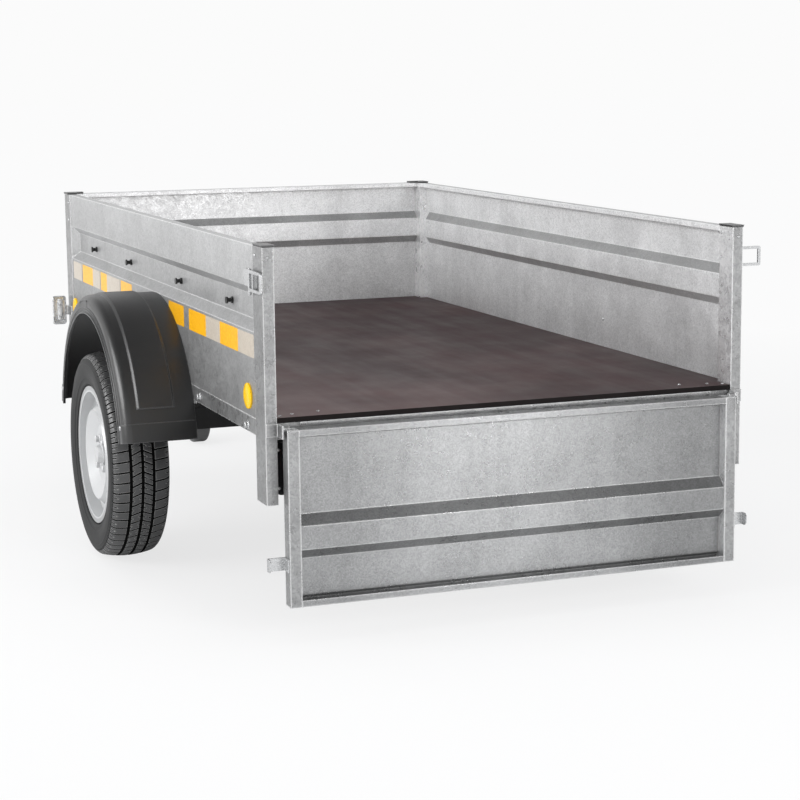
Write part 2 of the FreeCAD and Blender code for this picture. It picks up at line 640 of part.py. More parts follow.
def mudguards():
    inside, t = f"({HALF} + seat)", "guardSheet"
    out = f"({TRACK} + tyreWidth / 2 - tyreShoulder + guardCover + guardSheet)"
    crown, hem = "guardR", "guardR - guardSkirt"
    shoulder = f"{out} - guardShoulder"
    shell = newBody("guard_shell")
    outline = [(inside, hem), (f"{inside} + {t}", hem), (f"{inside} + {t}", f"{crown} - {t}"),
               (shoulder, f"{crown} - {t}", f"0 - (guardShoulder - {t})"),
               (f"{out} - {t}", f"{crown} - guardShoulder"), (f"{out} - {t}", hem),
               (f"{out} + guardLipOut", hem), (f"{out} + guardLipOut", f"{hem} + {t}"),
               (out, f"{hem} + {t}"), (out, f"{crown} - guardShoulder", "guardShoulder"),
               (shoulder, crown), (inside, crown)]
    turn(shell, "guard_shell_turn", [outline], "guardSpan", symmetric=True)
    low, high = f"{inside} + guardRaiseIn", f"{shoulder} - guardRaiseOut"
    panel = [(f"{low} - guardRaise", crown), (f"{low} - guardRaise", f"{crown} - {t} / 2"),
             (f"{high} + guardRaise", f"{crown} - {t} / 2"), (f"{high} + guardRaise", crown),
             (high, f"{crown} + guardRaise"), (low, f"{crown} + guardRaise")]
    turn(shell, "guard_panel_turn", [panel], "guardRaiseSpan", symmetric=True)

    bands = []
    for number, side in enumerate(("", "0 - "), start=1):
        band = newBody(f"guard_band_{number}")
        strip = [(inside, crown), (shoulder, crown, minus("guardShoulder")),
                 (out, f"{crown} - guardShoulder"), (out, hem), (f"{out} + guardBand", hem),
                 (f"{out} + guardBand", f"{crown} - guardShoulder", "guardShoulder + guardBand"),
                 (shoulder, f"{crown} + guardBand"), (inside, f"{crown} + guardBand")]
        turn(band, f"guard_band_turn_{number}", [strip], "guardBandSpan", symmetric=True)
        swing(band, f"{side}(guardSpan - guardBandSpan) / 2", Vector(0, 1, 0))
        bands.append(band)
    partPair(fuse("mudguard_left", [shell, *bands]), "(axleX - guardBehind)", z="guardZ")


# Drawbar, its straps, the coupling and its lever


def drawbar():
    body = newBody("drawbar")
    half, start = "barWide / 2", "(crossMidX - barTail)"
    top, low = RAIL_LOW, f"({RAIL_LOW} - barHigh)"

    def tubeOutline(inset):
        side, floor, roof = f"({half} - {inset})", f"{low} + {inset}", f"{top} - {inset}"
        return [(minus(side), floor), (side, floor), (side, roof), (minus(side), roof)]

    pad(body, "drawbar_pad", "YZ_Plane", [tubeOutline("0"), tubeOutline("barWall")], start,
        f"{BAR_FRONT} - {start}")
    part(body)

    straps = []
    side, foot, under = f"({half} + strapSheet)", f"({half} + strapFoot)", f"{low} - strapSheet"
    outer = [(side, under), (side, f"{top} - strapSheet"), (foot, f"{top} - strapSheet"),
             (foot, top), (half, top), (half, low)]
    outline = outer + [(minus(y), z) for y, z in reversed(outer)]
    for number, x in enumerate(("crossMidX", "crossFrontX", "boxLength - crossDepth"), start=1):
        strap = newBody(f"drawbar_strap_{number}")
        pad(strap, f"drawbar_strap_pad_{number}", "YZ_Plane", [outline], x, "crossDepth")
        straps.append(strap)
    part(group("drawbar_straps", straps))


def coupling():
    centre, half = BAR_MIDDLE, "(barWide / 2 + headSheet)"
    sleeve = box("head_sleeve", f"{BAR_FRONT} - headSleeve", minus(half), f"{centre} - {half}",
                 "headSleeve", f"2 * {half}", f"2 * {half}")
    bore = box("head_bore", f"{BAR_FRONT} - headSleeve", minus("barWide / 2 + seat"),
               f"{centre} - barHigh / 2 - seat", "headSleeve", "barWide + 2 * seat",
               "barHigh + 2 * seat")
    neck = newBody("head_neck")
    back = sketchOn(neck, "head_neck_back", "YZ_Plane", BAR_FRONT)
    loop(back, square("0", centre, half))
    front = sketchOn(neck, "head_neck_front", "YZ_Plane", f"{BALL_X} - headNeck")
    slim = "(headR - headSheet)"
    loop(front, [(minus(slim), f"{centre} - headLow"), (slim, f"{centre} - headLow"),
                 (slim, f"{centre} + {half}"), (minus(slim), f"{centre} + {half}")])
    loft = neck.newObject("PartDesign::AdditiveLoft", "head_neck_loft")
    loft.Profile = back
    loft.Sections = [front]
    cup = ballAt("head_cup", "headR", BALL_X, "0", centre)
    skirt = rod("head_skirt", BALL_X, "0", f"{centre} - headLow", "headR", "headLow")
    socket = ballAt("ball_socket", "ballR", BALL_X, "0", centre)
    mouth = rod("ball_mouth", BALL_X, "0", f"{centre} - headR", "ballR", "headR")
    below = box("head_below", f"{BALL_X} - 2 * headR", minus("2 * headR"), f"{centre} - 2 * headR",
                "4 * headR", "4 * headR", "2 * headR - headLow")
    solid = fuse("head_solid", [cut("head_sleeve_open", sleeve, bore), neck, cup, skirt])
    part(cut("coupling_head", solid, fuse("head_hollow", [socket, mouth, below])))

    lever = newBody("coupling_lever")
    top, heel = f"({centre} + {half})", f"({BALL_X} - leverBack)"
    shape = [(heel, f"{top} + seat"), (f"{heel} + leverFoot", f"{top} + seat"),
             (f"{heel} + leverFoot", f"{top} + leverRise - leverThick"),
             (f"{heel} + leverLong", f"{top} + leverRise"),
             (f"{heel} + leverLong", f"{top} + leverRise + leverThick"),
             (heel, f"{top} + leverRise")]
    pad(lever, "coupling_lever_pad", "XZ_Plane", [shape], minus("leverWide / 2"), "leverWide")
    part(lever)


# Clamp-on jack: tube, crank, sliding inner tube, swivelling fork and wheel


def jack():
    outer = rod("jack_tube_outside", JACK_X, "jackY", "jackTubeLow", "jackTubeR",
                "jackTubeTop - jackTubeLow")
    bore = rod("jack_tube_bore", JACK_X, "jackY", "jackTubeLow", "jackTubeR - jackTubeWall",
               "jackTubeTop - jackTubeLow - jackTubeWall")
    part(cut("jack_outer_tube", outer, bore))

    low = f"{BAR_MIDDLE} - barHigh / 2"
    block = box("clamp_block", f"{JACK_X} - clampLong / 2", "barWide / 2", low, "clampLong",
                "jackY - barWide / 2", "barHigh")
    band = rod("clamp_band", JACK_X, "jackY", low, "jackTubeR + clampSheet", "barHigh")
    hole = rod("clamp_hole", JACK_X, "jackY", low, "jackTubeR", "barHigh")
    part(cut("jack_clamp", fuse("clamp_solid", [block, band]), hole))

    level = "(jackTubeTop + crankRise)"
    shaft = rod("crank_shaft", JACK_X, "jackY", "jackTubeTop", "crankR", "crankRise")
    arm = rod("crank_arm", JACK_X, "jackY", level, "crankR", "crankLong", Vector(0, 1, 0))
    elbow = ballAt("crank_elbow", "crankR", JACK_X, "jackY", level)
    grip = rod("crank_grip", JACK_X, "jackY + crankLong", f"{level} - gripDrop", "gripR",
               "gripLong")
    part(fuse("jack_crank", [shaft, elbow, arm, grip]))

    part(rod("jack_inner_tube", "0", "jackY", "jackInnerLow", "jackTubeR - jackTubeWall - seat",
             "jackInnerTop - jackInnerLow"), JACK_X)

    cheekY, whole = "(jackWheelWide / 2 + forkGap)", "(jackWheelWide + 2 * (forkGap + forkSheet))"
    crownLow, rear = "jackInnerLow - seat - forkCrown", "0 - forkBack - forkWide / 2"
    crown = box("fork_crown", rear, minus(f"{cheekY} + forkSheet"), crownLow,
                "forkWide + forkBack", whole, "forkCrown")
    shape = [("0 - jackTrail - forkEye", "jackWheelR", "forkEye"),
             ("0 - jackTrail", "jackWheelR - forkEye", "forkEye"),
             ("0 - jackTrail + forkEye", "jackWheelR"), ("forkWide / 2", crownLow),
             (rear, crownLow)]
    cheeks = []
    for number, y in enumerate((minus(f"{cheekY} + forkSheet"), cheekY), start=1):
        cheek = newBody(f"fork_cheek_{number}")
        pad(cheek, f"fork_cheek_pad_{number}", "XZ_Plane", [shape], minus(f"{y} + forkSheet"),
            "forkSheet")
        cheeks.append(cheek)
    pin = rod("fork_pin", "0 - jackTrail", minus(f"{cheekY} + forkSheet"), "jackWheelR",
              "forkPinR", whole, Vector(0, 1, 0))
    part(fuse("jack_fork", [crown, *cheeks, pin]), JACK_X, "jackY")

    spot = (f"({JACK_X} - jackTrail)", "jackY", "jackWheelR")
    half, edge = "jackWheelWide / 2", "jackWheelR - jackTyreEdge"
    tyre = newBody("jack_tyre")
    turn(tyre, "jack_tyre_turn", [[
        (minus(half), "jackRimR"), (minus(half), edge, minus("jackTyreEdge")),
        (minus(f"{half} - jackTyreEdge"), "jackWheelR"),
        (f"{half} - jackTyreEdge", "jackWheelR", minus("jackTyreEdge")),
        (half, edge), (half, "jackRimR")]])
    part(tyre, *spot)
    rim = newBody("jack_wheel_rim")
    web, lip = "jackWeb / 2", "jackRimR - jackWeb"
    bore, boss = "forkPinR + seat", "forkPinR + seat + jackBoss"
    turn(rim, "jack_rim_turn", [[
        (minus(half), bore), (minus(half), boss), (minus(web), boss), (minus(web), lip),
        (minus(half), lip), (minus(half), "jackRimR"), (half, "jackRimR"), (half, lip), (web, lip),
        (web, boss), (half, boss), (half, bore)]])
    part(rim, *spot)


# Tailgate, built closed about its hinge axis and then swung down to where it hangs


def hung(thing):
    part(thing, "hingeX", "0", "hingeZ")
    thing.Placement.Rotation = FreeCAD.Rotation(Vector(0, 1, 0), -180)
    thing.setExpression("Placement.Rotation.Angle", size("0 - 180 - gateLean"))


def tailgate():
    back, face = "(0 - hingeDeep)", "(gateDeep - hingeDeep)"
    low, high = "hingeRise", f"(hingeRise + {GATE_HIGH})"
    wide = f"({GATE_HALF} - gateChannel)"
    ribHigh = f"{high} - gateRibDrop"
    ribLow = f"{ribHigh} - gateRibTall"
    skin, rim, field = f"{back} + sheet", f"{face} - sheet", f"({back} + gateStep)"
    dish = (f"{low} + gateEdge", f"{high} - gateEdge", "gateStep")
    rib = (ribLow, ribHigh, "gateRibDepth")
    outerDish, innerDish = ribFold(back, "+", *dish, FOLD), ribFold(skin, "+", *dish, "0")
    outerRib = ribFold(field, "+", *rib, FOLD)
    innerRib = ribFold(f"({field} + sheet)", "+", *rib, "0")
    outline = [
        (face, f"{low} + gateLip"), (face, low), (back, low), *outerDish[:2], *outerRib,
        *outerDish[2:], (back, high), (face, high), (face, f"{high} - gateLip"),
        (rim, f"{high} - gateLip"), (rim, f"{high} - sheet"), (skin, f"{high} - sheet"),
        *innerDish[:1:-1], *innerRib[::-1], *innerDish[1::-1], (skin, f"{low} + sheet"),
        (rim, f"{low} + sheet"), (rim, f"{low} + gateLip")]
    panel = newBody("tailgate_panel")
    pad(panel, "tailgate_panel_pad", "XZ_Plane", [outline], minus(wide), f"2 * {wide}")
    hung(panel)

    sides = []
    for number, y in enumerate((wide, minus(GATE_HALF)), start=1):
        tube = box(f"gate_tube_{number}", back, y, low, "gateDeep", "gateChannel", GATE_HIGH)
        void = box(f"gate_void_{number}", f"{back} + sheet", f"{y} + sheet", f"{low} + sheet",
                   "gateDeep - 2 * sheet", "gateChannel - 2 * sheet", f"{GATE_HIGH} - 2 * sheet")
        sides.append(cut(f"gate_side_{number}", tube, void))
    pins = rod("gate_pin_holes", "0", minus(f"{GATE_HALF} + seat"), "0", "hingePinR + seat",
               f"2 * ({GATE_HALF} + seat)", Vector(0, 1, 0))
    hung(cut("tailgate_frame", group("gate_sides", sides), pins))

    z, tall = f"{high} - hookDrop", "hookTall"
    reach = f"({HALF} + hookOver)"
    claw = [(back, z), (f"{back} + hookLip - hookBevel", z), (f"{back} + hookLip", f"{z} + hookBevel"),
            (f"{back} + hookLip", f"{z} + {tall} - hookBevel"),
            (f"{back} + hookLip - hookBevel", f"{z} + {tall}"), (back, f"{z} + {tall}")]
    tip = newBody("hook_claw")
    pad(tip, "hook_claw_pad", "XZ_Plane", [claw], minus(reach), "hookSheet")
    arm = box("hook_arm", back, GATE_HALF, z, "hookSheet", f"{reach} - {GATE_HALF}", tall)
    foot = box("hook_foot", back, GATE_HALF, z, "gateDeep - hookSheet", "hookSheet", tall)
    hook = fuse("tailgate_hook_left", [arm, foot, tip])
    hung(group("tailgate_hooks", [hook, mirrored("tailgate_hook_right", hook)]))


def hingePlates():
    inY, high = f"({HALF} - wallWidth)", "hingePlateHigh - hingePlateLow"
    wrap = box("hinge_wrap_left", minus("hingePlate"), f"{inY} - hingePlate", "hingePlateLow",
               "hingePlate", f"{OUTER} - {inY} + hingePlate", high)
    ear = box("hinge_ear_left", "hingeX - hingeEar", f"{inY} - hingePlate", "hingePlateLow",
              "hingeEar - hingeX", "hingePlate", high)
    pin = rod("hinge_pin_left", "hingeX", f"{GATE_HALF} - sheet - hingePinIn", "hingeZ",
              "hingePinR", f"{inY} - {GATE_HALF} + sheet + hingePinIn", Vector(0, 1, 0))
    plate = fuse("hinge_plate_left", [wrap, ear, pin])
    part(group("hinge_plates", [plate, mirrored("hinge_plate_right", plate)]))


# Fittings on the walls


def coverPegs():
    pegs = []
    profile = [("0", "0"), ("0", "pegR"), ("pegFoot", "pegR"), ("pegFoot + pegBevel", "pegNeckR"),
               ("pegOut - pegFoot - pegBevel", "pegNeckR"), ("pegOut - pegFoot", "pegR"),
               ("pegOut", "pegR"), ("pegOut", "0")]
    places = ("pegRearX", "pegMidX", "boxLength - pegForeBack", "boxLength - pegFrontBack")
    for number, x in enumerate(places, start=1):
        peg = newBody(f"cover_peg_{number}")
        turn(peg, f"cover_peg_turn_{number}", [profile])
        bind(peg, Placement__Base__x=x, Placement__Base__y=f"{HALF} - ribDepth",
             Placement__Base__z=f"{RIB_LOW} + pegRise")
        pegs += [peg, mirrored(f"cover_peg_right_{number}", peg)]
    part(group("cover_pegs", pegs))


def reflectors():
    discs = []
    for number, x in enumerate(("reflectorRearX", "boxLength - reflectorFrontBack"), start=1):
        disc = newBody(f"reflector_{number}")
        turn(disc, f"reflector_turn_{number}", [[
            ("0", "0"), ("0", "reflectorR"), ("reflectorRim", "reflectorR"),
            ("reflectorOut", "reflectorR - reflectorRim"), ("reflectorOut", "0")]])
        bind(disc, Placement__Base__x=x, Placement__Base__y=HALF, Placement__Base__z="reflectorZ")
        discs += [disc, mirrored(f"reflector_right_{number}", disc)]
    part(group("side_reflectors", discs))


def rounded(left, right, low, high, r):
    """A rectangle's outline with rounded corners."""
    return [(f"{left} + {r}", low), (f"{right} - {r}", low, r), (right, f"{low} + {r}"),
            (right, f"{high} - {r}", r), (f"{right} - {r}", high), (f"{left} + {r}", high, r),
            (left, f"{high} - {r}"), (left, f"{low} + {r}", r)]


def markerLamps():
    face = "boxLength + markerSheet"
    low, high = "lampLow", "(lampLow + lampHigh)"
    a, b = f"({HALF} + lampGap)", f"({HALF} + lampGap + lampWide)"
    stem = box("marker_stem", WALL_END, OUTER, f"{low} + markerStem", "frontBox + markerSheet",
               "markerSheet", "markerStem")
    neck = box("marker_neck", "boxLength", OUTER, f"{low} + markerStem", "markerSheet",
               f"{a} + lampCorner - {OUTER}", "markerStem")
    plate = newBody("marker_plate")
    pad(plate, "marker_plate_pad", "YZ_Plane", [rounded(a, b, low, high, "lampCorner")],
        "boxLength", "markerSheet")
    bracket = fuse("marker_bracket_left", [stem, neck, plate])
    part(group("marker_brackets", [bracket, mirrored("marker_bracket_right", bracket)]))
    lamp = newBody("marker_lamp_left")
    pad(lamp, "marker_lamp_base", "YZ_Plane", [rounded(a, b, low, high, "lampCorner")], face,
        "lampDeep / 2")
    rim = "markerRim"
    inner = rounded(f"{a} + {rim}", f"{b} - {rim}", f"{low} + {rim}", f"{high} - {rim}",
                    f"(lampCorner - {rim})")
    pad(lamp, "marker_lamp_lens", "YZ_Plane", [inner], f"{face} + lampDeep / 2", "lampDeep / 2")
    part(group("marker_lamps", [lamp, mirrored("marker_lamp_right", lamp)]))


def latchFrame(name):
    """The latch's window frame, along -X from its pin, with a second bar near the pin."""
    frame = newBody(name)
    end, bar = minus("latchReach"), "latchBar"
    low, high = f"{LATCH_Z} - latchHalf", f"{LATCH_Z} + latchHalf"
    holeLow, holeHigh = f"{low} + {bar}", f"{high} - {bar}"
    window = [(f"{end} + {bar}", holeLow), ("0 - latchSpine", holeLow),
              ("0 - latchSpine", holeHigh), (f"{end} + {bar}", holeHigh)]
    slot = [(f"{bar} - latchSpine", holeLow), ("0 - latchPinR", holeLow),
            ("0 - latchPinR", holeHigh), (f"{bar} - latchSpine", holeHigh)]
    outline = rounded(end, "latchPinR", low, high, "latchCorner")
    pad(frame, name + "_pad", "XZ_Plane", [outline, window, slot], minus("latchThick / 2"),
        "latchThick")
    return frame


def latch(side, opened):
    """A latch as on the left side, its frame swung out by an angle from over the post."""
    plate = newBody(f"latch_plate_{side}")
    low, high = f"{LATCH_Z} - latchPlateDown", f"{LATCH_Z} + latchPlateUp"
    outline = rounded("latchPlateX", "latchPlateX + latchPlateLong", low, high, "latchCorner")
    pad(plate, f"latch_plate_pad_{side}", "XZ_Plane", [outline], minus(f"{OUTER} + latchSheet"),
        "latchSheet")
    knuckle = box(f"latch_knuckle_{side}", "latchPinX - latchPinR", OUTER,
                  f"{low} + latchBar", "2 * latchPinR", "latchPinOut",
                  "latchPlateDown + latchPlateUp - 2 * latchBar")
    pin = rod(f"latch_pin_{side}", "latchPinX", f"{OUTER} + latchPinOut",
              f"{LATCH_Z} - latchPinDown", "latchPinR", "latchPinDown + latchPinUp")
    frame = latchFrame(f"latch_frame_{side}")
    bind(frame, Placement__Base__x="latchPinX", Placement__Base__y=f"{OUTER} + latchPinOut")
    swing(frame, minus(opened), Vector(0, 0, 1))
    return fuse(f"latch_{side}_hand", [plate, knuckle, pin, frame])


def latches():
    folded = latch("left", "0")
    folded.Label = "latch_left"
    part(folded)
    part(mirrored("latch_right", latch("right", "latchOpen")))


def tailLamps():
    outer = f"({HALF} - wallWidth - seat)"
    lamp = newBody("tail_lamp_left")
    inner = f"({outer} - tailLampWide)"
    pad(lamp, "tail_lamp_base", "YZ_Plane",
        [rounded(inner, outer, "tailLampLow", "tailLampHigh", "tailLampCorner")],
        "tailLampX + tailLensOut", "tailLampDeep - tailLensOut")
    rim = "tailLensOut"
    lens = rounded(f"{inner} + {rim}", f"{outer} - {rim}", f"tailLampLow + {rim}",
                   f"tailLampHigh - {rim}", f"(tailLampCorner - {rim})")
    pad(lamp, "tail_lamp_lens", "YZ_Plane", [lens], "tailLampX", "tailLensOut")
    part(group("tail_lamps", [lamp, mirrored("tail_lamp_right", lamp)]))

    back = "tailLampX + tailLampDeep"
    side = f"{outer} - (tailLampWide + bracketWide) / 2"
    plate = box("lamp_plate_left", back, side, f"{RAIL_LOW} - bracketDrop", "bracketSheet",
                "bracketWide", "bracketDrop")
    tab = box("lamp_tab_left", "crossSetback", side, f"{RAIL_LOW} - bracketSheet",
              f"{back} - crossSetback", "bracketWide", "bracketSheet")
    bracket = fuse("lamp_bracket_left", [plate, tab])
    part(group("lamp_brackets", [bracket, mirrored("lamp_bracket_right", bracket)]))


sideRails()
crossMembers()
floorBoard()
sidePanels()
frontPanel()
posts()
wheel("left", 1)
wheel("right", -1)
axle()
mudguards()
drawbar()
coupling()
jack()
tailgate()
hingePlates()
coverPegs()
reflectors()
markerLamps()
latches()
tailLamps()

# Check every object and write each sub-part's shape

doc.recompute()
broken = [o.Name for o in doc.Objects if "Invalid" in o.State or "Error" in o.State]
if broken:
    raise RuntimeError(f"objects that failed: {broken}")
for thing in PARTS:
    if thing.Shape.isNull() or not thing.Shape.isValid():
        raise RuntimeError(f"{thing.Label} has no valid shape")
os.makedirs("parts", exist_ok=True)
for thing in PARTS:
    thing.Shape.exportStep(f"parts/{thing.Label}.step")
print(len(PARTS), "sub-parts written")
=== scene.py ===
import json
import math

import bmesh
import bpy
from mathutils import Matrix, Vector


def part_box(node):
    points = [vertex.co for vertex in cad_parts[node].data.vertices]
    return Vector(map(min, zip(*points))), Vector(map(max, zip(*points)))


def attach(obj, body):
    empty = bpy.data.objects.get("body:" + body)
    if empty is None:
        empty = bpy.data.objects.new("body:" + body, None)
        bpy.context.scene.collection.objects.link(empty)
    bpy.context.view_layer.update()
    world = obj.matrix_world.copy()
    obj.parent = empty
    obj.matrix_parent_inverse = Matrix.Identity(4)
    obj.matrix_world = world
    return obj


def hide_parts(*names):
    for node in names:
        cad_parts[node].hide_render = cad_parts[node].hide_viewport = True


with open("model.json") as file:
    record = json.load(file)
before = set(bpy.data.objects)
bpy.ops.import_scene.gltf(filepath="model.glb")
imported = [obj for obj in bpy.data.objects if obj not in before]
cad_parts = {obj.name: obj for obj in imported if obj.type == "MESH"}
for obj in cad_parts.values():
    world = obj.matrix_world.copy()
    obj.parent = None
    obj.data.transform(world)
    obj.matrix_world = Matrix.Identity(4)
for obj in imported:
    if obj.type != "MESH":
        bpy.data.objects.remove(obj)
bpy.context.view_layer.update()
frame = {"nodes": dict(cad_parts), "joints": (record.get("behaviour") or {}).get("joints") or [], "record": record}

print("frame loaded:", len(frame["nodes"]), "nodes")

# Landmarks of the trailer, all read from the frame, in metres
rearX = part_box("post_rear_left")[0].x       # rear face of the rear posts
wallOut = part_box("side_panel_left")[1].y    # outer face of the side panels
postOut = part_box("post_rear_left")[1].y     # outer face of the posts, which lap the panels
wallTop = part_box("side_panel_left")[1].z
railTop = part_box("side_rail_left")[1].z
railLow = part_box("side_rail_left")[0].z
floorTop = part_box("floor_board")[1].z
sides = {"left": 1, "right": -1}
upward, leftward, forward = Vector((0, 0, 1)), Vector((0, 1, 0)), Vector((1, 0, 0))


def spot(x, y, z):
    # x is measured forward from the rear face of the rear posts
    return Vector((rearX + x, y, z))


def middle(node):
    low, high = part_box(node)
    return (low + high) / 2


# Mesh helpers: each adds one closed shell to a bmesh

def facing(point, direction, twist=0.0):
    # a frame at a point whose own Z looks along the direction
    turn = Vector(direction).to_track_quat("Z", "Y").to_matrix().to_4x4()
    return Matrix.Translation(point) @ turn @ Matrix.Rotation(twist, 4, "Z")


def joinRows(bm, rows, ring, tone, deep=()):
    # deep holds points whose faces take the next material
    pairs = list(zip(rows, rows[1:])) + ([(rows[-1], rows[0])] if ring else [])
    for low, high in pairs:
        steps = max(len(low), len(high))
        for k in range(steps):
            n = (k + 1) % steps
            corners = [low[k % len(low)], low[n % len(low)], high[n % len(high)], high[k % len(high)]]
            corners = list(dict.fromkeys(corners))
            if len(corners) > 2:
                sunk = len(deep) > 0 and sum(corner in deep for corner in corners) > 1
                bm.faces.new(corners).material_index = tone + sunk


def lathe(bm, profile, place, steps=20, ring=False, tone=0):
    # profile holds (along, radius) pairs; a radius of 0 closes the end
    rows = []
    for along, radius in profile:
        if radius < 1e-7:
            rows.append([bm.verts.new(place @ Vector((0, 0, along)))])
            continue
        turns = [2 * math.pi * k / steps for k in range(steps)]
        rows.append([bm.verts.new(place @ Vector((radius * math.cos(a), radius * math.sin(a), along)))
                     for a in turns])
    joinRows(bm, rows, ring, tone)


def inset(outline, by):
    # the outline moved inwards by a distance, corner by corner
    moved = []
    count = len(outline)
    for k in range(count):
        before, here, after = (Vector(outline[(k + d) % count]) for d in (-1, 0, 1))
        a, b = (here - before).normalized(), (after - here).normalized()
        normalA, normalB = Vector((-a.y, a.x)), Vector((-b.y, b.x))
        half = (normalA + normalB).normalized()
        moved.append(tuple(here + half * by / max(half.dot(normalA), 0.3)))
    return moved


def prism(bm, outline, place, depth, bevel=0.0, tone=0, under=0.0):
    # an anticlockwise outline raised along the frame's own Z, its top edge bevelled
    rings = [(outline, -under), (outline, depth - bevel)]
    if bevel:
        rings.append((inset(outline, bevel), depth))
    rows = [[bm.verts.new(place @ Vector((x, y, z))) for x, y in points] for points, z in rings]
    joinRows(bm, rows, False, tone)
    bm.faces.new(rows[0][::-1]).material_index = tone
    bm.faces.new(rows[-1]).material_index = tone


def roundedBox(wide, high, corner, steps):
    # an anticlockwise rectangle round the origin with rounded corners
    points = []
    for k, (sx, sy) in enumerate(((1, 1), (-1, 1), (-1, -1), (1, -1))):
        for s in range(steps + 1):
            a = math.pi / 2 * (k + s / steps)
            points.append((sx * (wide / 2 - corner) + corner * math.cos(a),
                           sy * (high / 2 - corner) + corner * math.sin(a)))
    return points


def sweep(bm, stations, section):
    # stations hold (point, side, up); section holds (across, rise) pairs
    rows = [[bm.verts.new(point + side * a + up * b) for a, b in section]
            for point, side, up in stations]
    joinRows(bm, rows, False, 0)
    bm.faces.new(rows[0][::-1])
    bm.faces.new(rows[-1])


def straight(start, end, up):
    along = (Vector(end) - Vector(start)).normalized()
    side = Vector(up).cross(along).normalized()
    return [(Vector(start), side, Vector(up)), (Vector(end), side, Vector(up))]


def halfRound(wide, rise, sunk, steps=6):
    # a low bead's section, from one foot over the top to the other
    top = [(wide / 2 * math.cos(a), rise * math.sin(a))
           for a in (math.pi * k / steps for k in range(steps + 1))]
    return [(wide / 2, -sunk)] + top + [(-wide / 2, -sunk)]


def hexagon(across):
    corner = across / 2 / math.cos(math.pi / 6)
    return [(corner * math.cos(math.pi / 3 * k), corner * math.sin(math.pi / 3 * k))
            for k in range(6)]


def shifted(place, x=0.0, y=0.0, z=0.0):
    return place @ Matrix.Translation((x, y, z))


fixingForms = {
    "sunk": 0.0004,     # how far every foot goes into the surface below it
    "washerThick": 0.0018, "washerEdge": 0.0004, "washerTop": 0.96, "headSeat": 0.0016,
    # shares of a head's width across its flats
    "headTall": 0.55, "headChamfer": 0.07, "stemR": 0.27, "stemFoot": 0.4, "stemEnd": 0.6,
    "stemChamfer": 0.001, "stemTip": 0.8,
    # (height, radius) in shares of the head's radius, from its edge to its middle
    "rivet": ((0.12, 1), (0.42, 0.8), (0.6, 0.46), (0.58, 0.34), (0.3, 0.3), (0.3, 0)),
    "pan": ((0.3, 1), (0.55, 0.7), (0.62, 0.3), (0.4, 0.22), (0.4, 0)),
}


def head(bm, kind, point, direction, radius):
    # a blind rivet's low dome with its stem's hole, or a screw's pan head with its recess
    foot = -fixingForms["sunk"]
    shape = [(radius * height, radius * share) for height, share in fixingForms[kind]]
    lathe(bm, [(foot, 0), (foot, radius)] + shape, facing(point, direction), 18)


def bolt(bm, point, direction, across, washer, twist=0.0):
    # a flat washer and a chamfered hexagon head
    s = fixingForms
    place = facing(point, direction, twist)
    lathe(bm, [(-s["sunk"], 0), (-s["sunk"], washer), (s["washerThick"] - s["washerEdge"], washer),
               (s["washerThick"], washer * s["washerTop"]), (s["washerThick"], 0)], place, 28)
    prism(bm, hexagon(across), shifted(place, z=s["headSeat"]), across * s["headTall"],
          across * s["headChamfer"])


def nut(bm, point, direction, across, washer, stem, twist=0.0):
    # a hexagon nut on its washer with the bolt's end standing out
    s = fixingForms
    bolt(bm, point, direction, across, washer, twist)
    radius, foot, end = across * s["stemR"], across * s["stemFoot"], across * s["stemEnd"] + stem
    tip = end + s["stemChamfer"]
    lathe(bm, [(foot, 0), (foot, radius), (end, radius), (tip, radius * s["stemTip"]), (tip, 0)],
          facing(point, direction), 16)


def makePiece(bm, name, slotName, body="trailer", looks=(), nodes=(), sharp=35):
    # looks are the names of its materials, or none where the slot's own is enough
    bmesh.ops.recalc_face_normals(bm, faces=bm.faces)
    mesh = bpy.data.meshes.new(name)
    bm.to_mesh(mesh)
    bm.free()
    mesh.shade_smooth()
    mesh.set_sharp_from_angle(angle=math.radians(sharp))
    for look in looks or [slotName]:
        mesh.materials.append(materials[look])
    piece = bpy.data.objects.new(name, mesh)
    bpy.context.scene.collection.objects.link(piece)
    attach(piece, body)
    if nodes:
        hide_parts(*nodes)


# Node helpers for materials

def addNode(tree, kind, feeds, **modes):
    # feeds says what goes into each input: a plain value is set on it, an output is linked to it
    node = tree.nodes.new("ShaderNode" + kind)
    for key, value in modes.items():
        setattr(node, key, value)
    for label, source in feeds.items():
        if isinstance(source, (int, float, tuple)):
            node.inputs[label].default_value = source
        elif source is not None:
            tree.links.new(source, node.inputs[label])
    return node.outputs


def calc(tree, operation, a, b=None, clamp=False):
    return addNode(tree, "Math", {0: a, 1: b}, operation=operation, use_clamp=clamp)[0]


def product(tree, value, *others):
    for other in others:
        value = calc(tree, "MULTIPLY", value, other)
    return value


def ramped(tree, value, gain, base):
    # base + gain * value
    return calc(tree, "ADD", calc(tree, "MULTIPLY", value, gain), base)


def offset(tree, value, centre, gain, clamp=False):
    # gain * (value - centre)
    return calc(tree, "MULTIPLY", calc(tree, "SUBTRACT", value, centre), gain, clamp)


def centred(tree, value, amount):
    # 1 + amount * (value - 0.5)
    return calc(tree, "ADD", offset(tree, value, 0.5, amount), 1.0)


def coords(tree, which="Object"):
    return addNode(tree, "TexCoord", {})[which]


def axisOf(tree, vector, axis):
    return addNode(tree, "SeparateXYZ", {0: vector})[axis]


def stretched(tree, vector, scale):
    return addNode(tree, "Mapping", {"Vector": vector, "Scale": scale})[0]


def tinted(tree, color, value):
    return addNode(tree, "VectorMath", {0: color, "Scale": value}, operation="SCALE")[0]


def dotProduct(tree, a, b):
    return addNode(tree, "VectorMath", {0: a, 1: b}, operation="DOT_PRODUCT")["Value"]


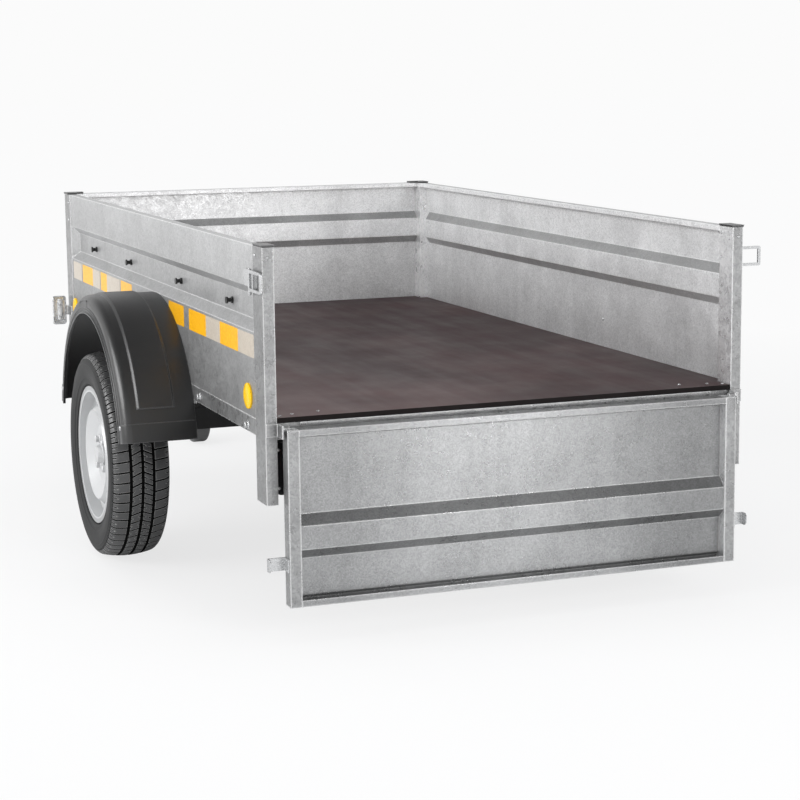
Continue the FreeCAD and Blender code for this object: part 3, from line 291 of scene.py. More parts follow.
def noiseValue(tree, vector, scale, detail=2.0, rough=0.5):
    return addNode(tree, "TexNoise", {"Vector": vector, "Scale": scale, "Detail": detail,
                                      "Roughness": rough})["Fac"]


def cellShades(tree, vector, scale):
    # random shades for each cell, and the distance from its middle
    cells = addNode(tree, "TexVoronoi", {"Vector": vector, "Scale": scale})
    return addNode(tree, "SeparateColor", {0: cells["Color"]}), cells["Distance"]


def mixColors(tree, mask, a, b):
    return addNode(tree, "Mix", {"Factor": mask, 6: a, 7: b}, data_type="RGBA")[2]


def newGroup(name, inputs, outputs):
    # inputs give each socket's default, outputs its kind
    tree = bpy.data.node_groups.new(name, "ShaderNodeTree")
    for label, value in inputs.items():
        kind = "NodeSocketColor" if isinstance(value, tuple) else "NodeSocketFloat"
        tree.interface.new_socket(label, in_out="INPUT", socket_type=kind).default_value = value
    for label, kind in outputs.items():
        tree.interface.new_socket(label, in_out="OUTPUT", socket_type="NodeSocket" + kind)
    source, sink = tree.nodes.new("NodeGroupInput"), tree.nodes.new("NodeGroupOutput")
    return tree, source.outputs, sink.inputs


coatOutputs = {"Color": "Color", "Roughness": "Float", "Height": "Float"}


def zincCoatGroup():
    # hot-dip zinc: large and small crystals, cloudy tone and runs down the sheet
    s = {"wander": 60.0, "spread": (0.012, 0.012, 0.012), "smaller": 3.1, "cloud": (9.0, 7.0, 0.68),
         "stretch": (11.0, 11.0, 1.4), "runs": (1.0, 5.0, 0.65), "runTone": 0.35,
         "crystalGloss": 0.14, "cloudGloss": 0.35, "half": 0.5}
    tree, given, out = newGroup(
        "zincCoat", {"Color": (0.6, 0.6, 0.6, 1), "Cells": 110.0, "Mottle": 0.2, "Cloud": 0.4,
                     "Sparkle": 0.5, "Gloss": 0.42}, coatOutputs)
    place = coords(tree)
    wander = addNode(tree, "TexNoise", {"Vector": place, "Scale": s["wander"]})["Color"]
    spread = addNode(tree, "VectorMath", {0: wander, 1: s["spread"], 2: place},
                     operation="MULTIPLY_ADD")[0]
    large, _ = cellShades(tree, spread, given["Cells"])
    small, _ = cellShades(tree, spread, calc(tree, "MULTIPLY", given["Cells"], s["smaller"]))
    cloud = noiseValue(tree, place, *s["cloud"])
    runs = noiseValue(tree, stretched(tree, place, s["stretch"]), *s["runs"])
    tone = product(tree, centred(tree, large[0], given["Mottle"]),
                   centred(tree, cloud, given["Cloud"]), centred(tree, runs, s["runTone"]),
                   centred(tree, small[0], given["Sparkle"]))
    rough = calc(tree, "ADD", given["Gloss"], offset(tree, large[1], 0.5, s["crystalGloss"]))
    rough = calc(tree, "ADD", rough, offset(tree, cloud, 0.5, s["cloudGloss"]))
    height = calc(tree, "ADD", calc(tree, "MULTIPLY", large[0], s["half"]),
                  calc(tree, "MULTIPLY", small[0], s["half"]))
    tree.links.new(tinted(tree, given["Color"], tone), out["Color"])
    tree.links.new(rough, out["Roughness"])
    tree.links.new(height, out["Height"])
    return tree


def softEdgeGroup():
    # the small round of a folded or moulded edge, and a mask of where it is, along which most materials paint a
    # highlight
    tree, given, out = newGroup("softEdge", {"Radius": 0.002, "Reach": 3.0},
                                {"Normal": "Vector", "Mask": "Float"})
    rounded = addNode(tree, "Bevel", {"Radius": given["Radius"]}, samples=6)["Normal"]
    turned = dotProduct(tree, rounded, addNode(tree, "NewGeometry", {})["Normal"])
    tree.links.new(rounded, out["Normal"])
    tree.links.new(offset(tree, 1.0, turned, given["Reach"], clamp=True), out["Mask"])
    return tree


def mouldedGrainGroup():
    # fine pebble grain with a slow change of tone and gloss
    s = {"slow": (6.0, 4.0, 0.6), "grainTone": 0.25, "slowGloss": 0.25}
    tree, given, out = newGroup("mouldedGrain", {"Color": (0.05, 0.05, 0.05, 1), "Grain": 900.0,
                                                 "Vary": 0.2, "Gloss": 0.45}, coatOutputs)
    place = coords(tree)
    slow = noiseValue(tree, place, *s["slow"])
    grain = noiseValue(tree, place, given["Grain"])
    tone = product(tree, centred(tree, slow, given["Vary"]), centred(tree, grain, s["grainTone"]))
    tree.links.new(tinted(tree, given["Color"], tone), out["Color"])
    tree.links.new(calc(tree, "ADD", given["Gloss"], offset(tree, slow, 0.5, s["slowGloss"])),
                   out["Roughness"])
    tree.links.new(grain, out["Height"])
    return tree


groups = {"zinc": zincCoatGroup(), "edge": softEdgeGroup(), "grain": mouldedGrainGroup()}


def useGroup(tree, which, values):
    return addNode(tree, "Group", values, node_tree=groups[which])


def useCoat(tree, which, look):
    # each input of the group takes the look's value of the same name
    sockets = [item.name for item in groups[which].interface.items_tree if item.in_out == "INPUT"]
    return useGroup(tree, which, {name: look[name.lower()] for name in sockets})


def newMaterial(name, settings):
    # a material with a Principled shader whose plain settings are on its own sockets
    material = bpy.data.materials.new(name)
    material.use_nodes = True
    shader = material.node_tree.nodes["Principled BSDF"]
    for label, value in settings.items():
        shader.inputs[label].default_value = value
    return material, material.node_tree, shader


def finishNormal(tree, shader, height, look, reach=3.0):
    # bump over rounded edges; returns the edge mask
    edge = useGroup(tree, "edge", {"Radius": look["edge"], "Reach": look.get("reach", reach)})
    bump = addNode(tree, "Bump", {"Distance": look["bump"], "Height": height,
                                  "Normal": edge["Normal"]})
    tree.links.new(bump["Normal"], shader.inputs["Normal"])
    return edge["Mask"]


def finishColor(tree, shader, color, rough):
    tree.links.new(color, shader.inputs["Base Color"])
    tree.links.new(rough, shader.inputs["Roughness"])


def insideMask(tree):
    # 1 on faces that look towards the middle of the trailer
    flat = addNode(tree, "VectorMath", {0: coords(tree), 1: (1, 1, 0)}, operation="MULTIPLY")[0]
    return calc(tree, "LESS_THAN", dotProduct(tree, flat, coords(tree, "Normal")), 0.0)


def paintedLightAndShade(tree, color, look):
    # painted shade and light by place: the outside is darker than the inside and darker towards the bottom, and
    # slopes inside are darker still
    height = calc(tree, "DIVIDE", calc(tree, "SUBTRACT", axisOf(tree, coords(tree), "Z"), railTop),
                  wallTop - railTop, clamp=True)
    inside = insideMask(tree)
    outsideShade, bright = (ramped(tree, height, high - low, low)
                      for low, high in (look["outside"], look["inside"]))
    level = calc(tree, "ADD", calc(tree, "MULTIPLY", calc(tree, "SUBTRACT", 1.0, inside), outsideShade),
                 calc(tree, "MULTIPLY", inside, bright))
    upright, flat = 0.2, 0.9    # the normal of a slope rises or falls by a share between these
    # slopes inside that face up and slopes that face down are each cut back by their share: painted shade
    for sign, cutBack in zip((1, -1), look["slopes"]):
        tilt = calc(tree, "MULTIPLY", axisOf(tree, coords(tree, "Normal"), "Z"), sign)
        slope = product(tree, calc(tree, "GREATER_THAN", tilt, upright),
                        calc(tree, "LESS_THAN", tilt, flat), inside)
        level = calc(tree, "MULTIPLY", level,
                     calc(tree, "SUBTRACT", 1.0, calc(tree, "MULTIPLY", slope, cutBack)))
    return tinted(tree, color, level)


def paintedGateLight(tree, color, look):
    # painted highlight across the middle and painted shade towards the right end
    across = axisOf(tree, coords(tree), "Y")
    share = calc(tree, "POWER", calc(tree, "DIVIDE", across, look["half"]), 2.0)
    share = calc(tree, "SUBTRACT", 1.0, share, clamp=True)
    right = calc(tree, "MULTIPLY", across, look["fade"], clamp=True)
    level = calc(tree, "SUBTRACT", ramped(tree, share, look["gain"], look["end"]),
                 calc(tree, "MULTIPLY", right, look["rightShade"]))
    return tinted(tree, color, level)


def zincMaterial(name, look):
    material, tree, shader = newMaterial(name, {"Metallic": look["metallic"]})
    coat = useCoat(tree, "zinc", look)
    mask = finishNormal(tree, shader, coat["Height"], look, reach=6.0)
    color = coat["Color"]
    # walls and posts take painted shade and light by place
    if "outside" in look:
        color = paintedLightAndShade(tree, color, look)
    # the tailgate's painted highlight across its middle and painted shade at its right end
    if "toneAndSheen" in look:
        color = paintedGateLight(tree, color, look["toneAndSheen"])
    # painted highlight along the rounded edges
    finishColor(tree, shader, mixColors(tree, mask, color, look["edgeToneAndHighlight"]), coat["Roughness"])
    return material


def mouldedMaterial(name, look):
    material, tree, shader = newMaterial(name, {"Metallic": look.get("metallic", 0.0),
                                                "Specular IOR Level": look.get("specular", 0.5)})
    coat = useCoat(tree, "grain", look)
    mask = finishNormal(tree, shader, coat["Height"], look)
    # painted highlight along the rounded edges
    finishColor(tree, shader, mixColors(tree, mask, coat["Color"], look["edgeToneAndHighlight"]),
                coat["Roughness"])
    return material


# outside and inside are painted levels of light, from low to high on the wall; slopes are the shares of painted
# shade cut from the slopes inside
zincLooks = {
    "galvanised_steel": {"color": (0.66, 0.662, 0.666, 1), "edgeToneAndHighlight": (1.0, 1.0, 1.0, 1),
                         "cells": 75.0, "mottle": 0.16, "cloud": 0.75, "sparkle": 0.3,
                         "gloss": 0.34, "metallic": 0.72, "bump": 0.00005, "edge": 0.0042,
                         "outside": (0.46, 0.48), "inside": (1.4, 1.4), "slopes": (0.0, 0.0)},
    "galvanised_sheet": {"color": (0.86, 0.862, 0.865, 1), "edgeToneAndHighlight": (1.0, 1.0, 1.0, 1),
                         "cells": 120.0, "mottle": 0.08, "cloud": 0.5, "sparkle": 0.3,
                         "gloss": 0.42, "metallic": 0.52, "bump": 0.00005, "edge": 0.0042,
                         "outside": (0.28, 0.55), "inside": (0.8, 1.06), "slopes": (0.55, 0.3)},
    # the tailgate's sheet is a darker copy of the walls' sheet: painted shade
    "gate_sheet": {"color": (0.33, 0.332, 0.335, 1), "edgeToneAndHighlight": (1.0, 1.0, 1.0, 1),
                   "cells": 130.0, "mottle": 0.07, "cloud": 0.5, "sparkle": 0.34,
                   "gloss": 0.34, "metallic": 0.8, "bump": 0.00005, "edge": 0.0042,
                   "toneAndSheen": {"end": 0.9, "gain": 0.3, "rightShade": 0.18, "half": 0.42,
                            "fade": -2.5}},
    "hub_metal": {"color": (0.58, 0.583, 0.588, 1), "edgeToneAndHighlight": (0.74, 0.74, 0.75, 1),
                  "cells": 400.0, "mottle": 0.1, "cloud": 0.2, "sparkle": 0.12,
                  "gloss": 0.5, "metallic": 0.5, "bump": 0.00002, "edge": 0.001},
    "zinc_fittings": {"color": (0.55, 0.555, 0.56, 1), "edgeToneAndHighlight": (0.8, 0.805, 0.81, 1),
                      "cells": 260.0, "mottle": 0.1, "cloud": 0.3, "sparkle": 0.15,
                      "gloss": 0.28, "metallic": 0.8, "bump": 0.00002, "edge": 0.0016},
}
mouldedLooks = {
    "black_plastic": {"color": (0.012, 0.012, 0.0125, 1), "edgeToneAndHighlight": (0.15, 0.15, 0.153, 1),
                      "grain": 1100.0, "vary": 0.8, "gloss": 0.34, "bump": 0.00012,
                      "edge": 0.0036, "specular": 0.85, "reach": 4.0},
    "peg_plastic": {"color": (0.008, 0.008, 0.008, 1), "edgeToneAndHighlight": (0.04, 0.04, 0.04, 1),
                    "grain": 1500.0, "vary": 0.2, "gloss": 0.34, "bump": 0.00005, "edge": 0.001},
    # the tread's rubber is lighter than the flank's: painted light on the tread, which faces the lamps
    "tyre_rubber": {"color": (0.052, 0.052, 0.053, 1), "edgeToneAndHighlight": (0.42, 0.42, 0.41, 1),
                    "grain": 260.0, "vary": 0.9, "gloss": 0.36, "bump": 0.0003, "edge": 0.003,
                    "specular": 0.8, "reach": 5.0},
    "flank_rubber": {"color": (0.02, 0.02, 0.0205, 1), "edgeToneAndHighlight": (0.09, 0.09, 0.09, 1),
                     "grain": 300.0, "vary": 0.7, "gloss": 0.55, "bump": 0.0002, "edge": 0.002,
                     "specular": 0.22},
    # near-black rubber for the grooves and slots: painted shade
    "groove_shade_rubber": {"color": (0.005, 0.005, 0.005, 1), "edgeToneAndHighlight": (0.01, 0.01, 0.01, 1),
                      "grain": 700.0, "vary": 0.4, "gloss": 0.8, "bump": 0.0001, "edge": 0.001,
                      "specular": 0.1},
    "lamp_housing": {"color": (0.006, 0.006, 0.007, 1), "edgeToneAndHighlight": (0.03, 0.03, 0.03, 1),
                     "grain": 1300.0, "vary": 0.2, "gloss": 0.34, "bump": 0.00005, "edge": 0.001,
                     "specular": 0.35},
    "black_axle": {"color": (0.02, 0.02, 0.021, 1), "edgeToneAndHighlight": (0.05, 0.05, 0.05, 1),
                   "grain": 500.0, "vary": 0.4, "gloss": 0.42, "bump": 0.00006, "edge": 0.002},
    "coupling_steel": {"color": (0.085, 0.085, 0.09, 1), "edgeToneAndHighlight": (0.2, 0.2, 0.2, 1),
                       "grain": 600.0, "vary": 0.4, "gloss": 0.4, "bump": 0.00006, "edge": 0.002,
                       "metallic": 0.5},
}
lensLooks = {
    "amber_lens": {"color": (1.0, 0.62, 0.0, 1), "deep": (0.92, 0.5, 0.0, 1), "coat": 0.08},
    "amber_tape": {"color": (0.96, 0.5, 0.012, 1), "deep": (0.86, 0.4, 0.008, 1), "gloss": 0.3,
                   "cells": 260.0, "coat": 0.1},
    # beige patches: painted reflection of the amber glow on the sheet
    "amber_glow_patch": {"color": (0.56, 0.5, 0.42, 1), "deep": (0.48, 0.42, 0.35, 1), "gloss": 0.3,
                   "cells": 260.0, "coat": 0.1},
    "clear_lens": {"color": (0.82, 0.84, 0.85, 1), "deep": (0.5, 0.52, 0.54, 1)},
    "lamp_body": {"color": (0.78, 0.79, 0.8, 1), "deep": (0.34, 0.35, 0.36, 1), "gloss": 0.2,
                  "cells": 210.0, "coat": 0.5},
    "red_lens": {"color": (0.5, 0.02, 0.015, 1), "deep": (0.28, 0.008, 0.006, 1)},
}


def lensMaterial(name, color, deep, gloss=0.16, cells=520.0, coat=0.3):
    # a prism-backed lens: bright and dark facets of one colour under a smooth face
    s = {"coatGloss": 0.08, "specular": 0.25, "facetGloss": 0.1, "facetDeep": 0.00008}
    material, tree, shader = newMaterial(name, {"Coat Weight": coat, "Coat Roughness": s["coatGloss"],
                                                "Specular IOR Level": s["specular"]})
    shade, height = cellShades(tree, coords(tree), cells)
    bump = addNode(tree, "Bump", {"Distance": s["facetDeep"], "Height": height})
    tree.links.new(bump["Normal"], shader.inputs["Normal"])
    finishColor(tree, shader, mixColors(tree, shade[0], deep, color),
                ramped(tree, shade[1], s["facetGloss"], gloss))
    return material


def wheelMaterial():
    # silver paint in front, with painted shade on the flange and on the side that the disc hides
    look = {"color": (0.6, 0.605, 0.61, 1), "edgeToneAndHighlight": (0.56, 0.565, 0.57, 1),
            "hiddenShade": (0.035, 0.033, 0.031, 1), "behind": 0.024, "blur": 260.0, "hiddenShadeGloss": 0.35,
            "flange": (0.34, 0.343, 0.347, 1), "flangeR": 0.168, "flangeBlur": 250.0,
            "grain": 1800.0, "vary": 0.1, "gloss": 0.34, "bump": 0.00001, "edge": 0.0018}
    material, tree, shader = newMaterial("wheel_steel", {"Metallic": 0.3, "Coat Weight": 0.25,
                                                         "Coat Roughness": 0.2})
    coat = useCoat(tree, "grain", look)
    mask = finishNormal(tree, shader, coat["Height"], look)
    paint = mixColors(tree, mask, coat["Color"], look["edgeToneAndHighlight"])
    place, rim = coords(tree), middle("rim_left")
    squares = [calc(tree, "POWER", calc(tree, "SUBTRACT", axisOf(tree, place, axis), level), 2.0)
               for axis, level in (("X", rim.x), ("Z", rim.z))]
    radius = calc(tree, "SQRT", calc(tree, "ADD", *squares))
    # darker beyond the flange's radius: painted shade
    flange = offset(tree, radius, look["flangeR"], look["flangeBlur"], clamp=True)
    paint = mixColors(tree, flange, paint, look["flange"])
    # darker, and rougher, on the side that the disc hides: painted shade
    across = calc(tree, "ABSOLUTE", axisOf(tree, place, "Y"))
    hidden = offset(tree, abs(rim.y) + look["behind"], across, look["blur"], clamp=True)
    finishColor(tree, shader, mixColors(tree, hidden, paint, look["hiddenShade"]),
                calc(tree, "ADD", coat["Roughness"],
                     calc(tree, "MULTIPLY", hidden, look["hiddenShadeGloss"])))
    return material


def boardMaterial():
    # phenolic film on plywood: cloudy film, a painted sheen paler towards the left and the rear, faint streaks
    # along the sheet and a black sealed edge
    look = {"color": (0.030, 0.0125, 0.013, 1), "pale": (0.088, 0.048, 0.047, 1),
            "edgeToneAndHighlight": (0.004, 0.004, 0.004, 1), "sheen": (1.0, 0.82, 0.82, 1),
            "grain": 420.0, "vary": 0.5, "gloss": 0.46, "bump": 0.0001, "edge": 0.0012,
            "stretch": (1.4, 22.0, 6.0), "streak": (1.0, 5.0, 0.6), "streakTone": 0.5,
            "streakGloss": 0.2, "bloom": (2.1, 6.0, 0.62), "bloomFrom": 0.48, "bloomGain": 3.0,
            "leftFrom": -0.2, "leftGain": 1.3, "rearFrom": -0.9, "rearGain": -1.6, "leftRearSheen": 0.35,
            "faceUp": 0.6}
    material, tree, shader = newMaterial("phenolic_board", {"Specular IOR Level": 0.15,
                                                            "Specular Tint": look["sheen"]})
    coat = useCoat(tree, "grain", look)
    place = coords(tree)
    streak = noiseValue(tree, stretched(tree, place, look["stretch"]), *look["streak"])
    bloom = noiseValue(tree, place, *look["bloom"])
    toneAndSheen = offset(tree, bloom, look["bloomFrom"], look["bloomGain"])
    # the film is paler towards the left and the rear: painted sheen
    left = offset(tree, axisOf(tree, place, "Y"), look["leftFrom"], look["leftGain"], clamp=True)
    rear = offset(tree, axisOf(tree, place, "X"), look["rearFrom"], look["rearGain"], clamp=True)
    leftRearSheen = calc(tree, "MULTIPLY", left, calc(tree, "ADD", rear, look["leftRearSheen"]))
    # random pale patches together with the painted sheen
    toneAndSheen = calc(tree, "ADD", toneAndSheen, leftRearSheen, clamp=True)
    film = mixColors(tree, toneAndSheen, coat["Color"], look["pale"])
    shade = tinted(tree, film, centred(tree, streak, look["streakTone"]))
    mask = finishNormal(tree, shader, coat["Height"], look)
    normal = addNode(tree, "NewGeometry", {})["Normal"]
    edge = calc(tree, "LESS_THAN", axisOf(tree, normal, "Z"), look["faceUp"])
    cover = calc(tree, "MAXIMUM", mask, edge)
    finishColor(tree, shader, mixColors(tree, cover, shade, look["edgeToneAndHighlight"]),
                calc(tree, "ADD", coat["Roughness"],
                     offset(tree, streak, 0.5, look["streakGloss"])))
    return material


def makeMaterials():
    made = {name: zincMaterial(name, look) for name, look in zincLooks.items()}
    made.update({name: mouldedMaterial(name, look) for name, look in mouldedLooks.items()})
    made.update({name: lensMaterial(name, **look) for name, look in lensLooks.items()})
    made["phenolic_board"] = boardMaterial()
    made["wheel_steel"] = wheelMaterial()
    return made


materials = makeMaterials()
for item in frame["record"]["subparts"]:
    node = frame["nodes"][item["node"]]
    for place in node.material_slots:
        place.material = materials[item["material_slot"]]
for place in frame["nodes"]["tailgate_panel"].material_slots:
    place.material = materials["gate_sheet"]    # a darker copy of the sheet: painted shade on the tailgate's inner face
print("materials on the carried nodes")

# Tyres: a grid of rows across the tread and columns round it, with real grooves

tyreSizes = {
    "pitches": 62,                  # tread blocks round the tyre
    "pitchR": 0.2735,               # the radius at which slots are measured along a pitch
    "groove": 0.0080, "grooveDepth": 0.0076, "grooveWall": 0.0010,
    "grooves": (-0.0292, 0.0, 0.0302),
    "ribRows": 8, "slant": 0.45, "shoulderSlant": 0.12, "slantFrom": 0.04, "flankR": 0.2535,
    "slotDepth": 0.0058, "slotEnd": 0.0745, "slotFade": 0.006, "slotFoot": 0.25,
    "slotWalls": {"A": (0.0004, 0.0038, 0.0042), "B": (0.0003, 0.0024, 0.0027)},
    "ribSlot": 0.8, "lesserSlot": 0.6,          # shares of the full depth
    "lesserFrom": 0.012, "lesserReach": 0.0095,  # slot B stays this near the shoulder or a groove
    "flank": ((0.0597, 0.1705), (0.0597, 0.1835), (0.0655, 0.1842), (0.0698, 0.1868),
              (0.0712, 0.1905), (0.0704, 0.1945), (0.0728, 0.2020), (0.0733, 0.2028),
              (0.0740, 0.2036), (0.0741, 0.2050), (0.0758, 0.2130), (0.0772, 0.2220),
              (0.0775, 0.2310), (0.0768, 0.2392), (0.0772, 0.2400), (0.0770, 0.2412),
              (0.0758, 0.2440), (0.0744, 0.2500)),
    "shoulder": ((0.0722, 0.2548), (0.0690, 0.2594), (0.0648, 0.2632), (0.0605, 0.2655)),
    "inside": ((0.0510, 0.2570), (0.0680, 0.2220), (0.0500, 0.1860), (0.0500, 0.1705)),
}


def mirroredRows(points, kind):
    # the rows of the other side, in the order that the ring takes them
    return [(-y, r, 0, kind) for y, r in reversed(points)]


def treadRows():
    # (across, radius, groove depth share, kind of rib) from the left flank to the right one
    s = tyreSizes
    outer = max(point[1] for point in s["shoulder"])
    crown = (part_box("tyre_left")[1].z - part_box("tyre_left")[0].z) / 2
    edge = s["shoulder"][-1][0]

    def treadR(y):
        return crown - (crown - outer) * min(abs(y) / edge, 1) ** 2

    rows = [(y, r, 0, "flank") for y, r in s["flank"]]
    rows += [(y, r, 0, "shoulder") for y, r in s["shoulder"]]
    marks = [edge] + [y for g in sorted(s["grooves"], reverse=True)
                      for y in (g + s["groove"] / 2, g - s["groove"] / 2)] + [-edge]
    for number in range(0, len(marks), 2):
        start, end = marks[number], marks[number + 1]
        kind = "shoulder" if number in (0, len(marks) - 2) else "inner"
        for k in range(s["ribRows"] + 1):
            y = start + (end - start) * k / s["ribRows"]
            if (number == 0 and k == 0) or (number == len(marks) - 2 and k == s["ribRows"]):
                continue
            rows.append((y, treadR(y), 0, kind))
        if number + 2 < len(marks):
            low, high = end - s["grooveWall"], marks[number + 2] + s["grooveWall"]
            rows += [(low, treadR(low), 1, "groove"), (high, treadR(high), 1, "groove")]
    rows += mirroredRows(s["shoulder"], "shoulder") + mirroredRows(s["flank"], "flank")
    return rows + mirroredRows(s["inside"], "flank") + [(y, r, 0, "flank") for y, r in s["inside"]]


def treadColumns():
    # (place within one pitch, slot letter at its bottom or none); a pitch has two slots
    pitch = 2 * math.pi * tyreSizes["pitchR"] / tyreSizes["pitches"]
    columns = []
    for letter, start, after in (("A", 0.0, pitch * 0.3), ("B", pitch * 0.5, pitch * 0.8)):
        low, high, end = tyreSizes["slotWalls"][letter]
        columns += [(start, ""), (start + low, letter), (start + high, letter), (start + end, ""),
                    (after, "")]
    return [(place / pitch, letter) for place, letter in columns]


def slotDepth(letter, y, kind):
    s = tyreSizes
    if not letter or kind in ("flank", "groove"):
        return 0.0
    if kind == "shoulder" and letter == "A":
        fade = max(0.0, min(1.0, (s["slotEnd"] - abs(y)) / s["slotFade"]))
        return s["slotDepth"] * (s["slotFoot"] + (1 - s["slotFoot"]) * fade) if fade else 0.0
    if letter == "A":
        return s["slotDepth"] * s["ribSlot"]
    cut = (abs(y) > s["slotEnd"] - s["lesserFrom"] if kind == "shoulder"
           else min(abs(y - g) for g in s["grooves"]) < s["lesserReach"])
    return s["slotDepth"] * s["lesserSlot"] if cut else 0.0


def slantAt(y, kind):
    # how far round the tyre a slot has moved at this row, in metres
    s = tyreSizes
    if kind == "shoulder":
        return math.copysign(s["shoulderSlant"], y) * (abs(y) - s["slantFrom"])
    if kind == "inner":
        return s["slant"] * abs(y - s["grooves"][1])
    return 0.0


def makeTyre(side, hand):
    s = tyreSizes
    centre = middle(f"tyre_{side}")
    rows, columns = treadRows(), treadColumns()
    step = 2 * math.pi / s["pitches"]
    bm = bmesh.new()
    grid, deep = [], set()
    for y, radius, depth, kind in rows:
        ring = []
        lean = slantAt(y, kind) / radius
        for pitch in range(s["pitches"]):
            for share, letter in columns:
                angle = (pitch + share) * step + lean
                slot = slotDepth(letter, y, kind)
                r = radius - depth * s["grooveDepth"] - slot
                ring.append(bm.verts.new(centre + Vector(
                    (r * math.cos(angle), hand * y, hand * r * math.sin(angle)))))
                if depth or slot:
                    deep.add(ring[-1])
        grid.append(ring)
    # faces in the grooves and slots take the near-black rubber: painted shade
    joinRows(bm, grid, True, 0, deep)
    # flank faces take the darker rubber; the tread keeps the lighter copy as painted light
    for face in bm.faces:
        reach = face.calc_center_median() - centre
        if math.hypot(reach.x, reach.z) < s["flankR"] and not face.material_index:
            face.material_index = 2
    makePiece(bm, f"road_tyre_{side}", "tyre_rubber", f"wheel_{side}",
              ["tyre_rubber", "groove_shade_rubber", "flank_rubber"], [f"tyre_{side}"], 30)


for side, hand in sides.items():
    makeTyre(side, hand)
print("tyres")

# Wheel fittings: bolts, the hub cap's rolled rim and the valve; each profile is (out, radius)

wheelSizes = {
    "bolts": 4, "boltCircle": 0.049, "face": 0.0400, "boltAcross": 0.017, "boltSeat": 0.0044,
    "boltTall": 0.0098, "boltChamfer": 0.0012, "twist": 0.2,
    "seat": ((-0.0006, 0), (-0.0006, 0.0142), (0.0012, 0.0131), (0.0036, 0.0125),
             (0.0048, 0.0110), (0.0048, 0)),
    "capFoot": 0.0438,
    "capRim": ((0.0, 0.0271), (0.0, 0.0292), (0.0016, 0.0300), (0.0034, 0.0292), (0.0040, 0.0268)),
    "capFace": ((0.0142, 0), (0.0142, 0.0215), (0.0152, 0.0212), (0.0162, 0.0190),
                (0.0168, 0.0110), (0.0170, 0)),
    "valveR": 0.1500, "valveTurn": 214.0, "valveFoot": 0.0300, "valveLean": -0.35,
    "valve": ((-0.002, 0), (-0.002, 0.0085), (0.002, 0.0085), (0.004, 0.0060), (0.020, 0.0042),
              (0.022, 0.0046), (0.031, 0.0044), (0.0325, 0.0030), (0.0325, 0)),
}


def wheelRay(degrees):
    # a direction across the wheel, turned up from straight ahead
    return Vector((math.cos(math.radians(degrees)), 0, math.sin(math.radians(degrees))))


def makeWheelFittings(side, hand):
    s = wheelSizes
    centre, out, body = middle(f"rim_{side}"), Vector((0, hand, 0)), f"wheel_{side}"
    bm = bmesh.new()
    for k in range(s["bolts"]):
        point = centre + wheelRay(45 + 360 / s["bolts"] * k) * s["boltCircle"] + out * s["face"]
        place = facing(point, out, s["twist"] + k)
        lathe(bm, s["seat"], place, 28)
        prism(bm, hexagon(s["boltAcross"]), shifted(place, z=s["boltSeat"]), s["boltTall"],
              s["boltChamfer"])
    makePiece(bm, f"wheel_bolts_{side}", "hub_metal", body)

    bm = bmesh.new()
    place = facing(centre + out * s["capFoot"], out)
    lathe(bm, s["capRim"], place, 40, ring=True)
    lathe(bm, s["capFace"], place, 40)
    makePiece(bm, f"hub_cap_rim_{side}", "hub_metal", body)

    bm = bmesh.new()
    ray = wheelRay(s["valveTurn"])
    base = centre + ray * s["valveR"] + out * s["valveFoot"]
    lathe(bm, s["valve"], facing(base, (out + ray * s["valveLean"]).normalized()), 18)
    makePiece(bm, f"wheel_valve_{side}", "tyre_rubber", body)


for side, hand in sides.items():
    makeWheelFittings(side, hand)
print("wheel fittings")

# Mudguards: rolled lines round the arch, an oblong boss and the fixing screws

guardSizes = {
    "centreX": 0.968, "centreZ": 0.311, "span": 163.0, "steps": 72, "lipIn": 0.004,
    "hem": 0.338, "lineEnd": 0.4, "lineRise": 0.0017, "lineSunk": 0.0006,
    "lines": ((0.0040, 0.0030), (0.0100, 0.0030), (0.0160, 0.0030)),  # up from the hem, width
    "bossAngle": -6.5, "bossRadius": 0.3635, "bossLong": 0.066, "bossWide": 0.017, "bossIn": 0.0012,
    "bossBead": (0.0032, 0.0018, 0.0016), "bossSteps": 12, "bendSteps": 8,
    "screwAngles": (75.2, -75.2), "screwRadius": 0.358, "screwHead": 0.0062,
    "boltAngles": (-60.0, -22.0, 22.0, 60.0), "boltRadius": 0.352, "boltOut": 0.0033,
    "boltAcross": 0.010, "boltWasher": 0.0095, "boltTwist": 0.2,
}


def guardRay(degrees):
    # away from the guard's centre, at an angle back from the top
    return Vector((-math.sin(math.radians(degrees)), 0, math.cos(math.radians(degrees))))


def guardPoint(ray, radius, y):
    return spot(guardSizes["centreX"], 0, guardSizes["centreZ"]) + ray * radius + leftward * y


def guardArc(hand, radius, y, start, end, steps):
    rays = [guardRay(start + (end - start) * k / steps) for k in range(steps + 1)]
    return [(guardPoint(ray, radius, hand * y), ray, leftward * hand) for ray in rays]


